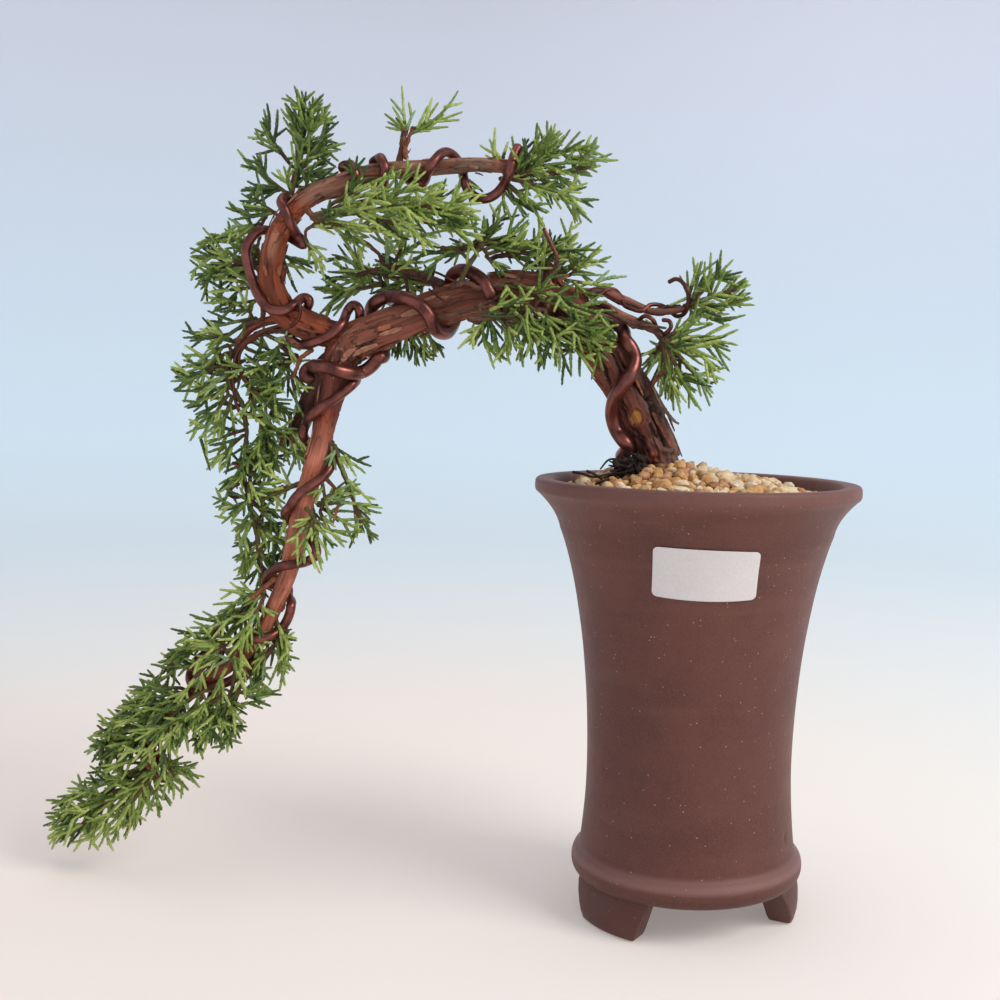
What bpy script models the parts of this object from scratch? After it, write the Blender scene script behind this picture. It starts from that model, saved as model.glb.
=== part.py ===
"""Juniper bonsai trained as a semi-cascade, in a tall flared clay pot on three feet.

Everything is laid out in millimetres about the pot's axis (x to the right, y away from the front,
z up from the surface the feet stand on) and written to the meshes in metres.  At the end the whole
object is moved sideways so that its origin is under the middle of its overall box.
"""
import bpy
import bmesh
import math
import random
from mathutils import Vector

MM = 0.001
GAP = 0.3                    # clearance between neighbouring solids

# ---------------------------------------------------------------- driving dimensions, mm
POT_STEPS = 30               # flats round the pot
POT_FLOOR_UNDER = 17.5       # underside of the pot's floor
POT_FLOOR_TOP = 25.5
POT_WALL = 6.2
WAIST_R = 47.8               # narrowest radius of the wall ...
WAIST_Z = 70.0               # ... and its height
FLARE_TOP = 114.0            # height over which the wall opens to the lip
FLARE_R = 14.8               # how far it opens, first as a square law ...
FLARE_LIP = 3.0              # ... and then quickly, just under the lip
SKIRT_R = 2.55               # how far it widens again down to the ring
TORUS_R = 53.7               # half-round ring above the feet
TORUS_Z = 23.8
RIM_R = 75.0                 # outer radius of the rolled lip
RIM_TOP = 201.3
FOOT_CENTRES = (-44.0, 83.0, 199.5)   # degrees round the pot, from the front towards +x
FOOT_HALF_TOP = 27.0         # half width of a foot in degrees, where it joins the pot
FOOT_HALF_BOTTOM = 19.0      # and where it stands
SOIL_TOP = 206.0             # flat top of the mounded substrate
SOIL_EDGE = 195.5            # its height against the pot's wall
SOIL_FLAT_R = 37.0
LABEL_ANGLES = (-17.0, 26.5)
LABEL_Z = (154.8, 176.6)
LABEL_THICK = 0.4

LIMB_SIDES = 10
WIRE_THICK = 3.2             # radii of the three training wires
WIRE_MEDIUM = 2.4

# Centre line of the trunk from the soil over its arch to the fork and down the cascade: x, y, z, radius
TRUNK_LINE = (
    (-18, 0, 206, 12.8), (-22, -1, 219, 11.4), (-31, -3, 238, 10.2), (-42, -4, 255, 9.6),
    (-56, -1, 274, 8.9), (-67, 1, 282, 8.6), (-80, 3, 286, 8.4), (-95, 4, 286.5, 8.3),
    (-123, 3, 278, 8.6), (-150, 0, 267, 8.6), (-163, -1, 260.5, 8.3), (-169.5, -1, 251, 7.6),
    (-173.5, 0, 236, 6.4), (-177.5, -2, 214, 5.4), (-180, -3, 203, 5.2), (-185, -4, 184, 5.0),
    (-190, -3, 160, 4.7), (-195, -2, 145, 4.5), (-206, 0, 121.5, 4.1), (-217, 1, 109, 3.8),
    (-239, 3, 92, 3.3), (-253, 4, 78, 2.8), (-261, 4, 64, 2.3), (-263, 4, 54, 2.0))
# Centre line of the upper bough, from inside the fork, up its bend and along to its tip
UPPER_LINE = (
    (-162, -1, 261, 7.0), (-179, -2, 266, 6.3), (-189, -4, 270.5, 6.1), (-196, -6, 276.5, 5.8),
    (-199.5, -8, 287, 5.6), (-199, -9, 298, 5.3), (-196, -10, 309, 5.1), (-191, -11, 317.5, 4.8),
    (-184, -11, 324, 4.3), (-174, -11, 330, 3.9), (-160, -10, 335.5, 3.8), (-146, -8, 339, 3.7),
    (-111, -4, 342.5, 3.4), (-95, -3, 342.5, 3.0), (-85, -2, 342, 2.3))
# Side limbs: name, centre line
SIDE_LIMBS = (
    ("branch_right_upper", ((-60, 1, 283, 2.6), (-48, 2, 287, 2.2), (-36, 2, 283, 2.1),
                            (-22, 0, 278, 1.8), (-8, 0, 280, 1.5))),
    ("branch_right_lower", ((-52, -2, 276, 2.6), (-47, -5, 280, 2.3), (-37, -7, 275.5, 2.1),
                            (-25, -8, 271, 1.8), (-17, -8, 267, 1.5))),
    ("branch_left_hanging", ((-190, -2, 272, 2.6), (-208, 4, 269.5, 2.1), (-218, 6, 263, 1.9),
                             (-223, 7, 252, 1.8))),
    ("branch_rear", ((-121, 4, 280, 2.8), (-127, 10, 290, 2.4), (-137, 15, 294, 2.3))),
    ("sprig_stem", ((-141, -7, 340, 1.8), (-140, -7, 349, 1.3), (-138, -8, 355, 1.2))),
    ("branch_second_stem", ((-173, 2, 240, 3.6), (-184, 8, 234, 3.0), (-194, 9, 224, 2.7),
                            (-197, 9, 213, 2.3))),
)
# Where each named length of the trunk line runs, as a share of the line's points
TRUNK_PARTS = (("trunk_lower", 0.0, 4.5), ("trunk_arch", 4.5, 8.6), ("trunk_fork", 8.6, 11.4),
               ("cascade_bough_upper", 11.4, 15.0), ("cascade_bough_middle", 15.0, 18.5),
               ("cascade_bough_tip", 18.5, 23.0))
UPPER_PARTS = (("upper_bough_rise", 0.0, 7.5), ("upper_bough_run", 7.5, 14.0))

# Training wires: name, guide, hand of the coil, wire radius, and where along the guide (in points)
# the coil starts, passes in front, and ends
COILS = (
    ("wire_trunk", "trunk", 1, WIRE_THICK, 0.0, (0.10, 2.45, 4.2, 5.8, 7.2, 8.4, 11.25), 0.35),
    ("wire_cascade", "trunk", 1, WIRE_MEDIUM, -0.20, (12.2, 14.4, 16.3, 18.0, 19.4, 20.6, 21.7), 0.30),
    ("wire_upper_bough", "upper", -1, WIRE_MEDIUM, -0.22, (1.0, 3.0, 6.9, 9.9, 10.8, 11.5, 13.2), 0.25),
)

# Foliage masses: name, root, tip, half width, half depth, sag at the middle, seed
MASSES = (
    ("tuft_top_left", (-197, 6, 325), (-183, 0, 376), 16.5, 15, 0, 11),
    ("sprig_top_left", (-138, -8, 357), (-142, -10, 376), 6, 6, 0, 12),
    ("sprig_top_right", (-135, -8, 358), (-112, -5, 374), 6, 7, -2, 13),
    ("tuft_upper_right", (-91, -2, 339), (-45, 2, 346), 19, 16, 2, 14),
    ("spray_upper_front", (-176, -25, 315), (-100, -20, 320), 13, 11, -3, 15),
    ("mass_rear_mid", (-124, 20, 290), (-189, 26, 299), 16.5, 13, 0, 16),
    ("mass_under_arch", (-148, 16, 273), (-130, 16, 251), 10.5, 9, 0, 17),
    ("spray_arch_top", (-121, -1, 303), (-80, -4, 314), 9.5, 12, 0, 18),
    ("mass_crown_upper", (-97, 2, 302), (-43, 2, 298), 14, 20, -4, 19),
    ("mass_crown_front", (-105, -20, 272), (-38, -19, 266), 17, 11, -3, 20),
    ("mass_crown_rear", (-108, 23, 282), (-46, 22, 272), 14, 12, -3, 21),
    ("tuft_right_upper", (-9, 0, 281), (20, -2, 291), 15.5, 13, 0, 22),
    ("tuft_right_lower", (-23, -8, 270), (9, -10, 238), 17, 14, 0, 23),
    ("mass_left_upper", (-203, 12, 299), (-247, 12, 294), 25, 16, 0, 24),
    ("mass_left_hanging_upper", (-193, 10, 254), (-252, 8, 238), 22, 17, 3, 25),
    ("mass_left_hanging_lower", (-203, 9, 232), (-219, 6, 187), 20, 14, 0, 26),
    ("mass_left_trailing", (-217, 4, 196), (-203, 0, 135), 14, 12, -4, 27),
    ("spray_right_cascade", (-172, -3, 214), (-153, -4, 166), 11, 10, 0, 28),
    ("spray_front_cascade", (-169, -15, 180), (-183, -15, 155), 8.5, 6, 0, 29),
    ("spray_rear_cascade", (-186, 16, 199), (-198, 14, 153), 8.5, 8, 0, 30),
    ("mass_lower_left", (-207, 6, 140), (-267, 6, 93), 14, 13, 2, 31),
    ("mass_lower_right", (-193, -1, 123), (-239, 1, 62), 12.5, 12, -3, 32),
    ("mass_tip_upper", (-250, 5, 89), (-294, 4, 50), 15.5, 13, 4, 33),
    ("mass_tip", (-254, 2, 56), (-316, 2, 17), 17, 14, -2, 34),
)


# ---------------------------------------------------------------- scene and materials
def clear_scene():
    for ob in list(bpy.data.objects):
        bpy.data.objects.remove(ob, do_unlink=True)


def new_collection(name):
    col = bpy.data.collections.new(name)
    bpy.context.scene.collection.children.link(col)
    return col


clear_scene()
PARTS = new_collection("juniper_bonsai")
CUTTERS = new_collection("cutters")
COLOURS = {
    "clay": ((0.105, 0.045, 0.035), 0.75, 0.0),
    "soil": ((0.42, 0.27, 0.14), 0.95, 0.0),
    "label": ((0.80, 0.78, 0.80), 0.45, 0.0),
    "bark": ((0.20, 0.075, 0.045), 0.85, 0.0),
    "wire": ((0.24, 0.075, 0.045), 0.35, 0.85),
    "foliage": ((0.065, 0.16, 0.035), 0.6, 0.0),
}


def give_material(ob, kind):
    rgb, rough, metal = COLOURS[kind]
    mat = bpy.data.materials.new(ob.name + "_" + kind)
    mat.use_nodes = True
    shader = mat.node_tree.nodes["Principled BSDF"]
    shader.inputs["Base Color"].default_value = (*rgb, 1.0)
    shader.inputs["Roughness"].default_value = rough
    shader.inputs["Metallic"].default_value = metal
    ob.data.materials.clear()
    ob.data.materials.append(mat)


def link(name, mesh, collection=None):
    ob = bpy.data.objects.new(name, mesh)
    (collection or PARTS).objects.link(ob)
    return ob


def hide_cutter(ob):
    ob.hide_render = True
    ob.display_type = "WIRE"


def smooth(mesh, angle=50):
    mesh.shade_smooth()
    mesh.set_sharp_from_angle(angle=math.radians(angle))


# ---------------------------------------------------------------- smooth lines through a few points
class Line:
    """A Catmull-Rom line through (x, y, z, radius) points; u counts along the points."""

    def __init__(self, points):
        self.p = [tuple(float(c) for c in q) for q in points]
        self.last = len(self.p) - 1

    def at(self, u):
        u = min(max(u, 0.0), float(self.last))
        i = min(int(u), self.last - 1)
        t = u - i
        a = self.p[max(i - 1, 0)]
        b = self.p[i]
        c = self.p[i + 1]
        d = self.p[min(i + 2, self.last)]
        out = []
        for k in range(4):
            m0 = (c[k] - a[k]) * 0.5
            m1 = (d[k] - b[k]) * 0.5
            out.append((2 * t ** 3 - 3 * t ** 2 + 1) * b[k] + (t ** 3 - 2 * t ** 2 + t) * m0
                       + (-2 * t ** 3 + 3 * t ** 2) * c[k] + (t ** 3 - t ** 2) * m1)
        return Vector(out[:3]), out[3]

    def along(self, u):
        a, _ = self.at(u - 0.05)
        b, _ = self.at(u + 0.05)
        return (b - a).normalized()

    def frame(self, u):
        """Tangent, the side that faces the front, and the third direction."""
        t = self.along(u)
        front = Vector((0, -1, 0))
        front = (front - t * front.dot(t)).normalized()
        return t, front, t.cross(front)


def stations(line, u0, u1, spacing):
    """Parameters from u0 to u1, about `spacing` mm apart and closer round tight bends."""
    fine = [u0 + (u1 - u0) * i / 200 for i in range(201)]
    out = [u0]
    run = 0.0
    turn = 0.0
    for a, b in zip(fine, fine[1:]):
        run += (line.at(b)[0] - line.at(a)[0]).length
        turn += line.along(a).angle(line.along(b))
        if run >= spacing or turn > math.radians(16):
            out.append(b)
            run = 0.0
            turn = 0.0
    if len(out) > 1 and (line.at(u1)[0] - line.at(out[-1])[0]).length < spacing * 0.35:
        out[-1] = u1
    else:
        out.append(u1)
    return out


def loft(name, rings, collection=None):
    """One closed body through rings that run anticlockwise about the direction of travel."""
    bm = bmesh.new()
    rows = [[bm.verts.new(p * MM) for p in ring] for ring in rings]
    n = len(rows[0])
    for low, high in zip(rows, rows[1:]):
        for k in range(n):
            j = (k + 1) % n
            bm.faces.new((low[k], low[j], high[j], high[k]))
    bm.faces.new(list(reversed(rows[0])))
    bm.faces.new(rows[-1])
    mesh = bpy.data.meshes.new(name)
    bm.to_mesh(mesh)
    bm.free()
    return link(name, mesh, collection)


def limb_rings(line, u0, u1, spacing, sides, grow=0.0, flare=0.0, flat_start=None):
    """Rings of a limb: a little lobed, and spread into root lobes near a flat start."""
    rings = []
    for u in stations(line, u0, u1, spacing):
        centre, radius = line.at(u)
        t, e1, e2 = line.frame(u)
        rise = 0.0
        if flat_start is not None:
            rise = max(0.0, 1.0 - (centre.z - flat_start) / 22.0)
        ring = []
        for k in range(sides):
            a = 2 * math.pi * k / sides
            lobes = 1.0 + 0.05 * math.sin(3 * a + 1.7 * u) + 0.03 * math.sin(2 * a - 1.1 * u)
            lobes += flare * rise ** 2 * (0.55 + 0.45 * math.sin(5 * a + 0.6))
            if grow > 3:
                lobes = 1.10        # a plain round sleeve, clear of bark and wire
            ring.append(centre + (e1 * math.cos(a) + e2 * math.sin(a)) * (radius * lobes + grow))
        if flat_start is not None:
            # lean the lowest rings over to the level cut
            for p in ring:
                p.z = p.z * (1 - rise ** 3) + (flat_start + (centre.z - flat_start)) * rise ** 3
                p.z = max(p.z, flat_start)
        rings.append(ring)
    return rings


# ---------------------------------------------------------------- cutting
def box_of(ob):
    pts = [v.co for v in ob.data.vertices]
    return ([min(p[k] for p in pts) for k in range(3)], [max(p[k] for p in pts) for k in range(3)])


def boxes_meet(a, b):
    (alo, ahi), (blo, bhi) = box_of(a), box_of(b)
    return all(alo[k] < bhi[k] + 0.0005 and blo[k] < ahi[k] + 0.0005 for k in range(3))


def cut_by(ob, cutter):
    """Takes the cutter's volume out of ob and keeps the largest body that is left."""
    mod = ob.modifiers.new("cut", "BOOLEAN")
    mod.operation = "DIFFERENCE"
    mod.solver = "EXACT"
    mod.object = cutter
    bpy.context.view_layer.update()
    graph = bpy.context.evaluated_depsgraph_get()
    mesh = bpy.data.meshes.new_from_object(ob.evaluated_get(graph))
    ob.modifiers.clear()
    bm = bmesh.new()
    bm.from_mesh(mesh)
    bmesh.ops.remove_doubles(bm, verts=bm.verts, dist=0.00002)
    bmesh.ops.dissolve_degenerate(bm, edges=bm.edges, dist=0.00003)
    bmesh.ops.triangulate(bm, faces=bm.faces)
    bodies = []
    left = set(bm.faces)
    while left:
        seed = left.pop()
        body = {seed}
        todo = [seed]
        while todo:
            for edge in todo.pop().edges:
                for face in edge.link_faces:
                    if face in left:
                        left.discard(face)
                        body.add(face)
                        todo.append(face)
        size = 0.0
        for face in body:
            a, b, c = (v.co for v in face.verts)
            size += a.dot(b.cross(c)) / 6
        bodies.append((size, body))
    bodies.sort(key=lambda item: -item[0])
    drop = [face for _, body in bodies[1:] for face in body]
    if drop:
        bmesh.ops.delete(bm, geom=drop, context="FACES")
        loose = [v for v in bm.verts if not v.link_faces]
        bmesh.ops.delete(bm, geom=loose, context="VERTS")
    fresh = bpy.data.meshes.new(ob.name)
    bm.to_mesh(fresh)
    bm.free()
    old = ob.data
    ob.data = fresh
    bpy.data.meshes.remove(old)
    bpy.data.meshes.remove(mesh)


# ---------------------------------------------------------------- pot
def wall_radius(z):
    """Outer radius of the pot's wall: a waist that opens upwards faster and faster."""
    if z >= WAIST_Z:
        t = (z - WAIST_Z) / FLARE_TOP
        return WAIST_R + FLARE_R * t ** 2 + FLARE_LIP * t ** 8
    return WAIST_R + SKIRT_R * ((WAIST_Z - z) / 40.0) ** 2


WALL_Z = (35.0, 52.0, 70.0, 92.0, 114.0, 136.0, 155.0, 170.0, 182.0)
OUTER = [(0.0, POT_FLOOR_UNDER), (49.2, POT_FLOOR_UNDER), (52.0, 18.8), (53.5, 21.2), (TORUS_R, TORUS_Z),
         (53.3, 26.8), (51.8, 30.3)]
OUTER += [(wall_radius(z), z) for z in WALL_Z]
OUTER += [(69.6, 189.8), (73.2, 193.2), (RIM_R, 197.4), (73.6, 200.5), (70.6, RIM_TOP), (67.4, 200.3)]
INNER = [(65.2, 196.5)] + [(wall_radius(z) - POT_WALL, z) for z in (184.0, 170.0, 150.0, 118.0, 70.0, 36.0)]
INNER += [(38.0, POT_FLOOR_TOP), (0.0, POT_FLOOR_TOP)]


def radius_on(profile, z):
    """Radius of a turned profile at height z, straight between its points."""
    pts = sorted((q[1], q[0]) for q in profile if q[0] > 0)
    for (z0, r0), (z1, r1) in zip(pts, pts[1:]):
        if z0 <= z <= z1 and z1 > z0:
            return r0 + (r1 - r0) * (z - z0) / (z1 - z0)
    return pts[-1][1] if z > pts[-1][0] else pts[0][1]


def turned(name, profile):
    """A closed turned body: the profile is spun about Z with a Screw modifier."""
    mesh = bpy.data.meshes.new(name)
    verts = [(r * MM, 0.0, z * MM) for r, z in profile]
    mesh.from_pydata(verts, [(i, i + 1) for i in range(len(verts) - 1)], [])
    ob = link(name, mesh)
    mod = ob.modifiers.new("turn", "SCREW")
    mod.axis = "Z"
    mod.angle = 2 * math.pi
    mod.steps = POT_STEPS
    mod.render_steps = POT_STEPS
    mod.use_merge_vertices = True
    mod.merge_threshold = 0.00005
    mod.use_smooth_shade = True
    return ob


def build_pot():
    # outer side runs from the top down, then the inside follows back up to the axis
    path = list(reversed(INNER)) + list(reversed(OUTER))
    ob = turned("pot", path)
    give_material(ob, "clay")
    return ob


def build_feet():
    side = ((50.2, POT_FLOOR_UNDER - GAP), (52.6, 13.5), (53.0, 8.5), (51.6, 2.4), (50.4, 0.0),
            (41.5, 0.0), (40.2, 2.0), (39.6, POT_FLOOR_UNDER - GAP))
    out = []
    for name, centre in zip(("foot_front", "foot_right", "foot_rear"), FOOT_CENTRES):
        rings = []
        cuts = 6
        for i in range(cuts + 1):
            s = -1 + 2 * i / cuts
            ring = []
            for r, z in side:
                share = min(1.0, z / (POT_FLOOR_UNDER - GAP))
                half = FOOT_HALF_BOTTOM + (FOOT_HALF_TOP - FOOT_HALF_BOTTOM) * share
                a = math.radians(centre + half * s)
                ring.append(Vector((r * math.sin(a), -r * math.cos(a), z)))
            rings.append(ring)
        ob = loft(name, rings)
        give_material(ob, "clay")
        out.append(ob)
    return out


def build_soil():
    inside = [q for q in reversed(INNER) if q[0] > 0 and q[1] < SOIL_EDGE]
    profile = [(0.0, POT_FLOOR_TOP + GAP)]
    for r, z in inside:
        low = z <= POT_FLOOR_TOP
        profile.append((r - 1.0 - (0.0 if low else -0.4), z + (GAP if low else 0.0)))
    profile.append((radius_on(INNER, SOIL_EDGE) - 0.6, SOIL_EDGE))
    profile += [(50.0, SOIL_TOP - 6.0), (SOIL_FLAT_R, SOIL_TOP), (0.0, SOIL_TOP)]
    ob = turned("soil", list(reversed(profile)))
    give_material(ob, "soil")
    return ob


def build_label():
    bm = bmesh.new()
    cols, rows = 9, 5
    grid = []
    for j in range(rows):
        z = LABEL_Z[0] + (LABEL_Z[1] - LABEL_Z[0]) * j / (rows - 1)
        r = radius_on(OUTER, z) + GAP + 0.25
        line = []
        for i in range(cols):
            a = math.radians(LABEL_ANGLES[0] + (LABEL_ANGLES[1] - LABEL_ANGLES[0]) * i / (cols - 1))
            line.append(bm.verts.new((r * math.sin(a) * MM, -r * math.cos(a) * MM, z * MM)))
        grid.append(line)
    for a, b in zip(grid, grid[1:]):
        for i in range(cols - 1):
            bm.faces.new((a[i], a[i + 1], b[i + 1], b[i]))
    mesh = bpy.data.meshes.new("label")
    bm.to_mesh(mesh)
    bm.free()
    ob = link("label", mesh)
    mod = ob.modifiers.new("thickness", "SOLIDIFY")
    mod.thickness = LABEL_THICK * MM
    mod.offset = 1.0
    give_material(ob, "label")
    return ob


# ---------------------------------------------------------------- limbs
LINES = {"trunk": Line(TRUNK_LINE), "upper": Line(UPPER_LINE)}


def build_limbs():
    limbs = []
    trunk = LINES["trunk"]
    for name, u0, u1 in TRUNK_PARTS:
        step = GAP / 18.0           # a cut of about GAP between the lengths
        start = u0 + (step if u0 > 0 else 0.0)
        first = u0 == 0.0
        rings = limb_rings(trunk, start, u1, 11.0 if u0 < 11 else 12.0,
                           LIMB_SIDES if u0 < 11 else 8, flare=0.28 if first else 0.0,
                           flat_start=SOIL_TOP + GAP if first else None)
        limbs.append(loft(name, rings))
    upper = LINES["upper"]
    for name, u0, u1 in UPPER_PARTS:
        rings = limb_rings(upper, u0 + (GAP / 9.0 if u0 > 0 else 0.0), u1, 10.0, 8)
        limbs.append(loft(name, rings))
    for name, points in SIDE_LIMBS:
        line = Line(points)
        LINES[name] = line
        limbs.append(loft(name, limb_rings(line, 0.0, line.last, 9.0, 6)))
    return limbs


def sleeve(name, line, u0, u1, grow, spacing=9.0, sides=8):
    ob = loft(name + "_sleeve", limb_rings(line, u0, u1, spacing, sides, grow=grow), CUTTERS)
    hide_cutter(ob)
    return ob


def fit_limbs(limbs):
    """Each side limb starts inside its parent and is trimmed back to the parent's bark."""
    by_name = {ob.name: ob for ob in limbs}
    trunk, upper = LINES["trunk"], LINES["upper"]
    parent_trunk = sleeve("parent_trunk", trunk, 2.0, 16.0, GAP + 0.6, 9.0, 12)
    parent_upper = sleeve("parent_upper", upper, 0.0, 14.0, GAP + 0.5, 8.0, 12)
    for name in ("upper_bough_rise", "branch_right_upper", "branch_right_lower", "branch_rear",
                 "branch_second_stem"):
        cut_by(by_name[name], parent_trunk)
    for name in ("branch_left_hanging", "sprig_stem"):
        cut_by(by_name[name], parent_upper)
    for ob in limbs:
        smooth(ob.data)
        give_material(ob, "bark")


# ---------------------------------------------------------------- training wires
def coil_points(line, hand, wire, lead, fronts, tail):
    """Points of a coil hugging a limb; it faces the front at each parameter in `fronts`."""
    marks = [(fronts[0] + lead * (fronts[1] - fronts[0]), lead)] if lead else []
    marks += [(u, float(i)) for i, u in enumerate(fronts)]
    marks.append((fronts[-1] + tail * (fronts[-1] - fronts[-2]), len(fronts) - 1 + tail))
    steps = 8
    first = int(math.ceil(marks[0][1] * steps))
    last = int(math.floor(marks[-1][1] * steps))
    points = []
    for i in range(first, last + 1):
        turn = i / steps
        for (u0, k0), (u1, k1) in zip(marks, marks[1:]):
            if k0 <= turn <= k1 or (u1, k1) == marks[-1]:
                u = u0 + (u1 - u0) * (turn - k0) / (k1 - k0)
                break
        centre, radius = line.at(u)
        t, e1, e2 = line.frame(u)
        a = 2 * math.pi * turn * hand
        reach = radius * 1.10 + wire + 0.5
        point = centre + (e1 * math.cos(a) + e2 * math.sin(a)) * reach
        if point.x < -60 or point.z > SOIL_TOP + wire + 2 * GAP:
            points.append(point)
    return points


def build_wire(name, guide, hand, wire, lead, fronts, tail):
    points = coil_points(LINES[guide], hand, wire, lead, fronts, tail)
    curve = bpy.data.curves.new(name, "CURVE")
    curve.dimensions = "3D"
    curve.bevel_depth = wire * MM
    curve.bevel_resolution = 1
    curve.use_fill_caps = True
    spline = curve.splines.new("POLY")
    spline.points.add(len(points) - 1)
    for q, p in zip(spline.points, points):
        q.co = (*(p * MM), 1.0)
    ob = bpy.data.objects.new(name, curve)
    PARTS.objects.link(ob)
    give_material(ob, "wire")
    return ob, points


# ---------------------------------------------------------------- foliage masses
def mass(name, root, tip, wide, deep, sag, seed, grow=0.0, collection=None):
    """An uneven closed body along a bowed line from root to tip, fullest beyond its middle."""
    rnd = random.Random(seed)
    a, b = Vector(root), Vector(tip)
    mid = (a + b) * 0.5 + Vector((0, 0, -sag * 2))
    waves = [(rnd.randint(2, 4), rnd.uniform(2.0, 5.0), rnd.uniform(0, 6.28), rnd.uniform(0.05, 0.10))
             for _ in range(4)]
    bm = bmesh.new()
    small = max(wide, deep) < 13
    bmesh.ops.create_uvsphere(bm, u_segments=8 if small else 10, v_segments=6 if small else 7, radius=1.0)
    for v in bm.verts:
        t = (v.co.z + 1) * 0.5
        centre = a * (1 - t) ** 2 + mid * 2 * t * (1 - t) + b * t ** 2
        along = ((mid - a) * (1 - t) + (b - mid) * t).normalized()
        depth = Vector((0, 1, 0))
        depth = (depth - along * depth.dot(along)).normalized()
        side = depth.cross(along)
        flat = math.hypot(v.co.x, v.co.y)
        ang = math.atan2(v.co.y, v.co.x)
        full = flat ** 0.75
        uneven = 1.0
        for k, m, ph, amp in waves:
            uneven += amp * math.sin(k * ang + m * t * 2 + ph)
        full *= uneven * (0.88 + 0.20 * t)
        ca, sa = math.cos(ang), math.sin(ang)
        q = centre + side * (ca * full * (wide + grow)) + depth * (sa * full * (deep + grow))
        q += along * (grow * v.co.z)
        v.co = q * MM
    bmesh.ops.triangulate(bm, faces=bm.faces, quad_method="FIXED")
    mesh = bpy.data.meshes.new(name)
    bm.to_mesh(mesh)
    bm.free()
    return link(name, mesh, collection)


def build_masses(limbs, wires):
    trunk, upper = LINES["trunk"], LINES["upper"]
    wired = 2 * WIRE_MEDIUM + 1.8
    thick = 2 * WIRE_THICK + 1.9
    sleeves = [sleeve("sleeve_trunk", trunk, 2.0, 11.9, thick, 10.0, 10),
               sleeve("sleeve_cascade", trunk, 11.7, 22.4, wired, 12.0, 8),
               sleeve("sleeve_cascade_end", trunk, 22.0, 23.0, GAP + 0.4, 5.0, 8),
               sleeve("sleeve_upper", upper, 0.0, 14.0, wired, 11.0, 8)]
    for name, points in SIDE_LIMBS:
        line = LINES[name]
        sleeves.append(sleeve("sleeve_" + name, line, 0.0, line.last, GAP + 0.3, 12.0, 6))
    done = []
    for spec in MASSES:
        ob = mass(*spec)
        for cutter in sleeves:
            if boxes_meet(ob, cutter):
                cut_by(ob, cutter)
        for other in done:
            probe = mass(other[0] + "_room", *other[1:], grow=GAP + 0.4, collection=CUTTERS)
            if boxes_meet(ob, probe):
                hide_cutter(probe)
                cut_by(ob, probe)
            else:
                old = probe.data
                bpy.data.objects.remove(probe, do_unlink=True)
                bpy.data.meshes.remove(old)
        smooth(ob.data, 60)
        give_material(ob, "foliage")
        done.append(spec)


# ---------------------------------------------------------------- put it together
def centre_on_box():
    """Moves everything sideways so the origin is under the middle of the overall box."""
    bpy.context.view_layer.update()
    graph = bpy.context.evaluated_depsgraph_get()
    lo = [1e9] * 3
    hi = [-1e9] * 3
    for ob in PARTS.objects:
        seen = ob.evaluated_get(graph)
        mesh = seen.to_mesh()
        for v in mesh.vertices:
            p = seen.matrix_world @ v.co
            for k in range(3):
                lo[k] = min(lo[k], p[k])
                hi[k] = max(hi[k], p[k])
        seen.to_mesh_clear()
    shift = Vector((-(lo[0] + hi[0]) / 2, -(lo[1] + hi[1]) / 2, -lo[2]))
    holder = bpy.data.objects.new("juniper_bonsai_origin", None)
    PARTS.objects.link(holder)
    holder.location = shift
    for ob in list(PARTS.objects):
        if ob is not holder:
            ob.parent = holder
    bpy.context.view_layer.update()
    print("moved by", tuple(round(c, 5) for c in shift), "box",
          [round(hi[k] - lo[k], 4) for k in range(3)])


build_pot()
build_feet()
build_soil()
build_label()
ALL_LIMBS = build_limbs()
fit_limbs(ALL_LIMBS)
WIRES = [build_wire(*spec) for spec in COILS]
build_masses(ALL_LIMBS, WIRES)
centre_on_box()
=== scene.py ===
"""Looks of the juniper bonsai: bark, wire, foliage, pot, stones, stage, light and camera.

Everything is laid out in millimetres about the pot's axis, as in part.py (x to the right, y away
from the front, z up from the surface the feet stand on), and moved into the frame in `place`.
"""
import math
import random

import bmesh
import bpy
import numpy as np
from mathutils import Matrix, Vector


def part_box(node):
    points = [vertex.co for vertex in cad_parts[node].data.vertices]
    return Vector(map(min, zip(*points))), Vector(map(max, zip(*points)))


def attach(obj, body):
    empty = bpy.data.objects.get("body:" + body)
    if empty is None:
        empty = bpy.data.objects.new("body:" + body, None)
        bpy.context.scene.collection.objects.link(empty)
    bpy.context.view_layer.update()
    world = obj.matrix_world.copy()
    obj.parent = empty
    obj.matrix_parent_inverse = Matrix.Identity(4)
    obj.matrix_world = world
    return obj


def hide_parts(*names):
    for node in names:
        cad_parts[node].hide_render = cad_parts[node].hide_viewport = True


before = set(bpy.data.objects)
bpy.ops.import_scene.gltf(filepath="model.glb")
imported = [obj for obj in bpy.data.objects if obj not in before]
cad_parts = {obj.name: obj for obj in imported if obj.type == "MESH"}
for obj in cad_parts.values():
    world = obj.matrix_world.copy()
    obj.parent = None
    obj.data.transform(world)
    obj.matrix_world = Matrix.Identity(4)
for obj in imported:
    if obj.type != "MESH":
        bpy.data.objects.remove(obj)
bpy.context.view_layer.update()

MM = 0.001
POT_LO, POT_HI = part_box("pot")
ORIGIN = np.array([(POT_LO.x + POT_HI.x) / 2, (POT_LO.y + POT_HI.y) / 2, 0.0])

# ================================================================ camera
CAM_AT = np.array([0.0, -592.44, 241.32])
CAM_YAW, CAM_PITCH, CAM_ROLL = (math.radians(v) for v in (-4.517, 4.299, 1.538))
FOCAL_PX = 1279.98
CENTRE_PX = (596.68, 486.92)


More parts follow.
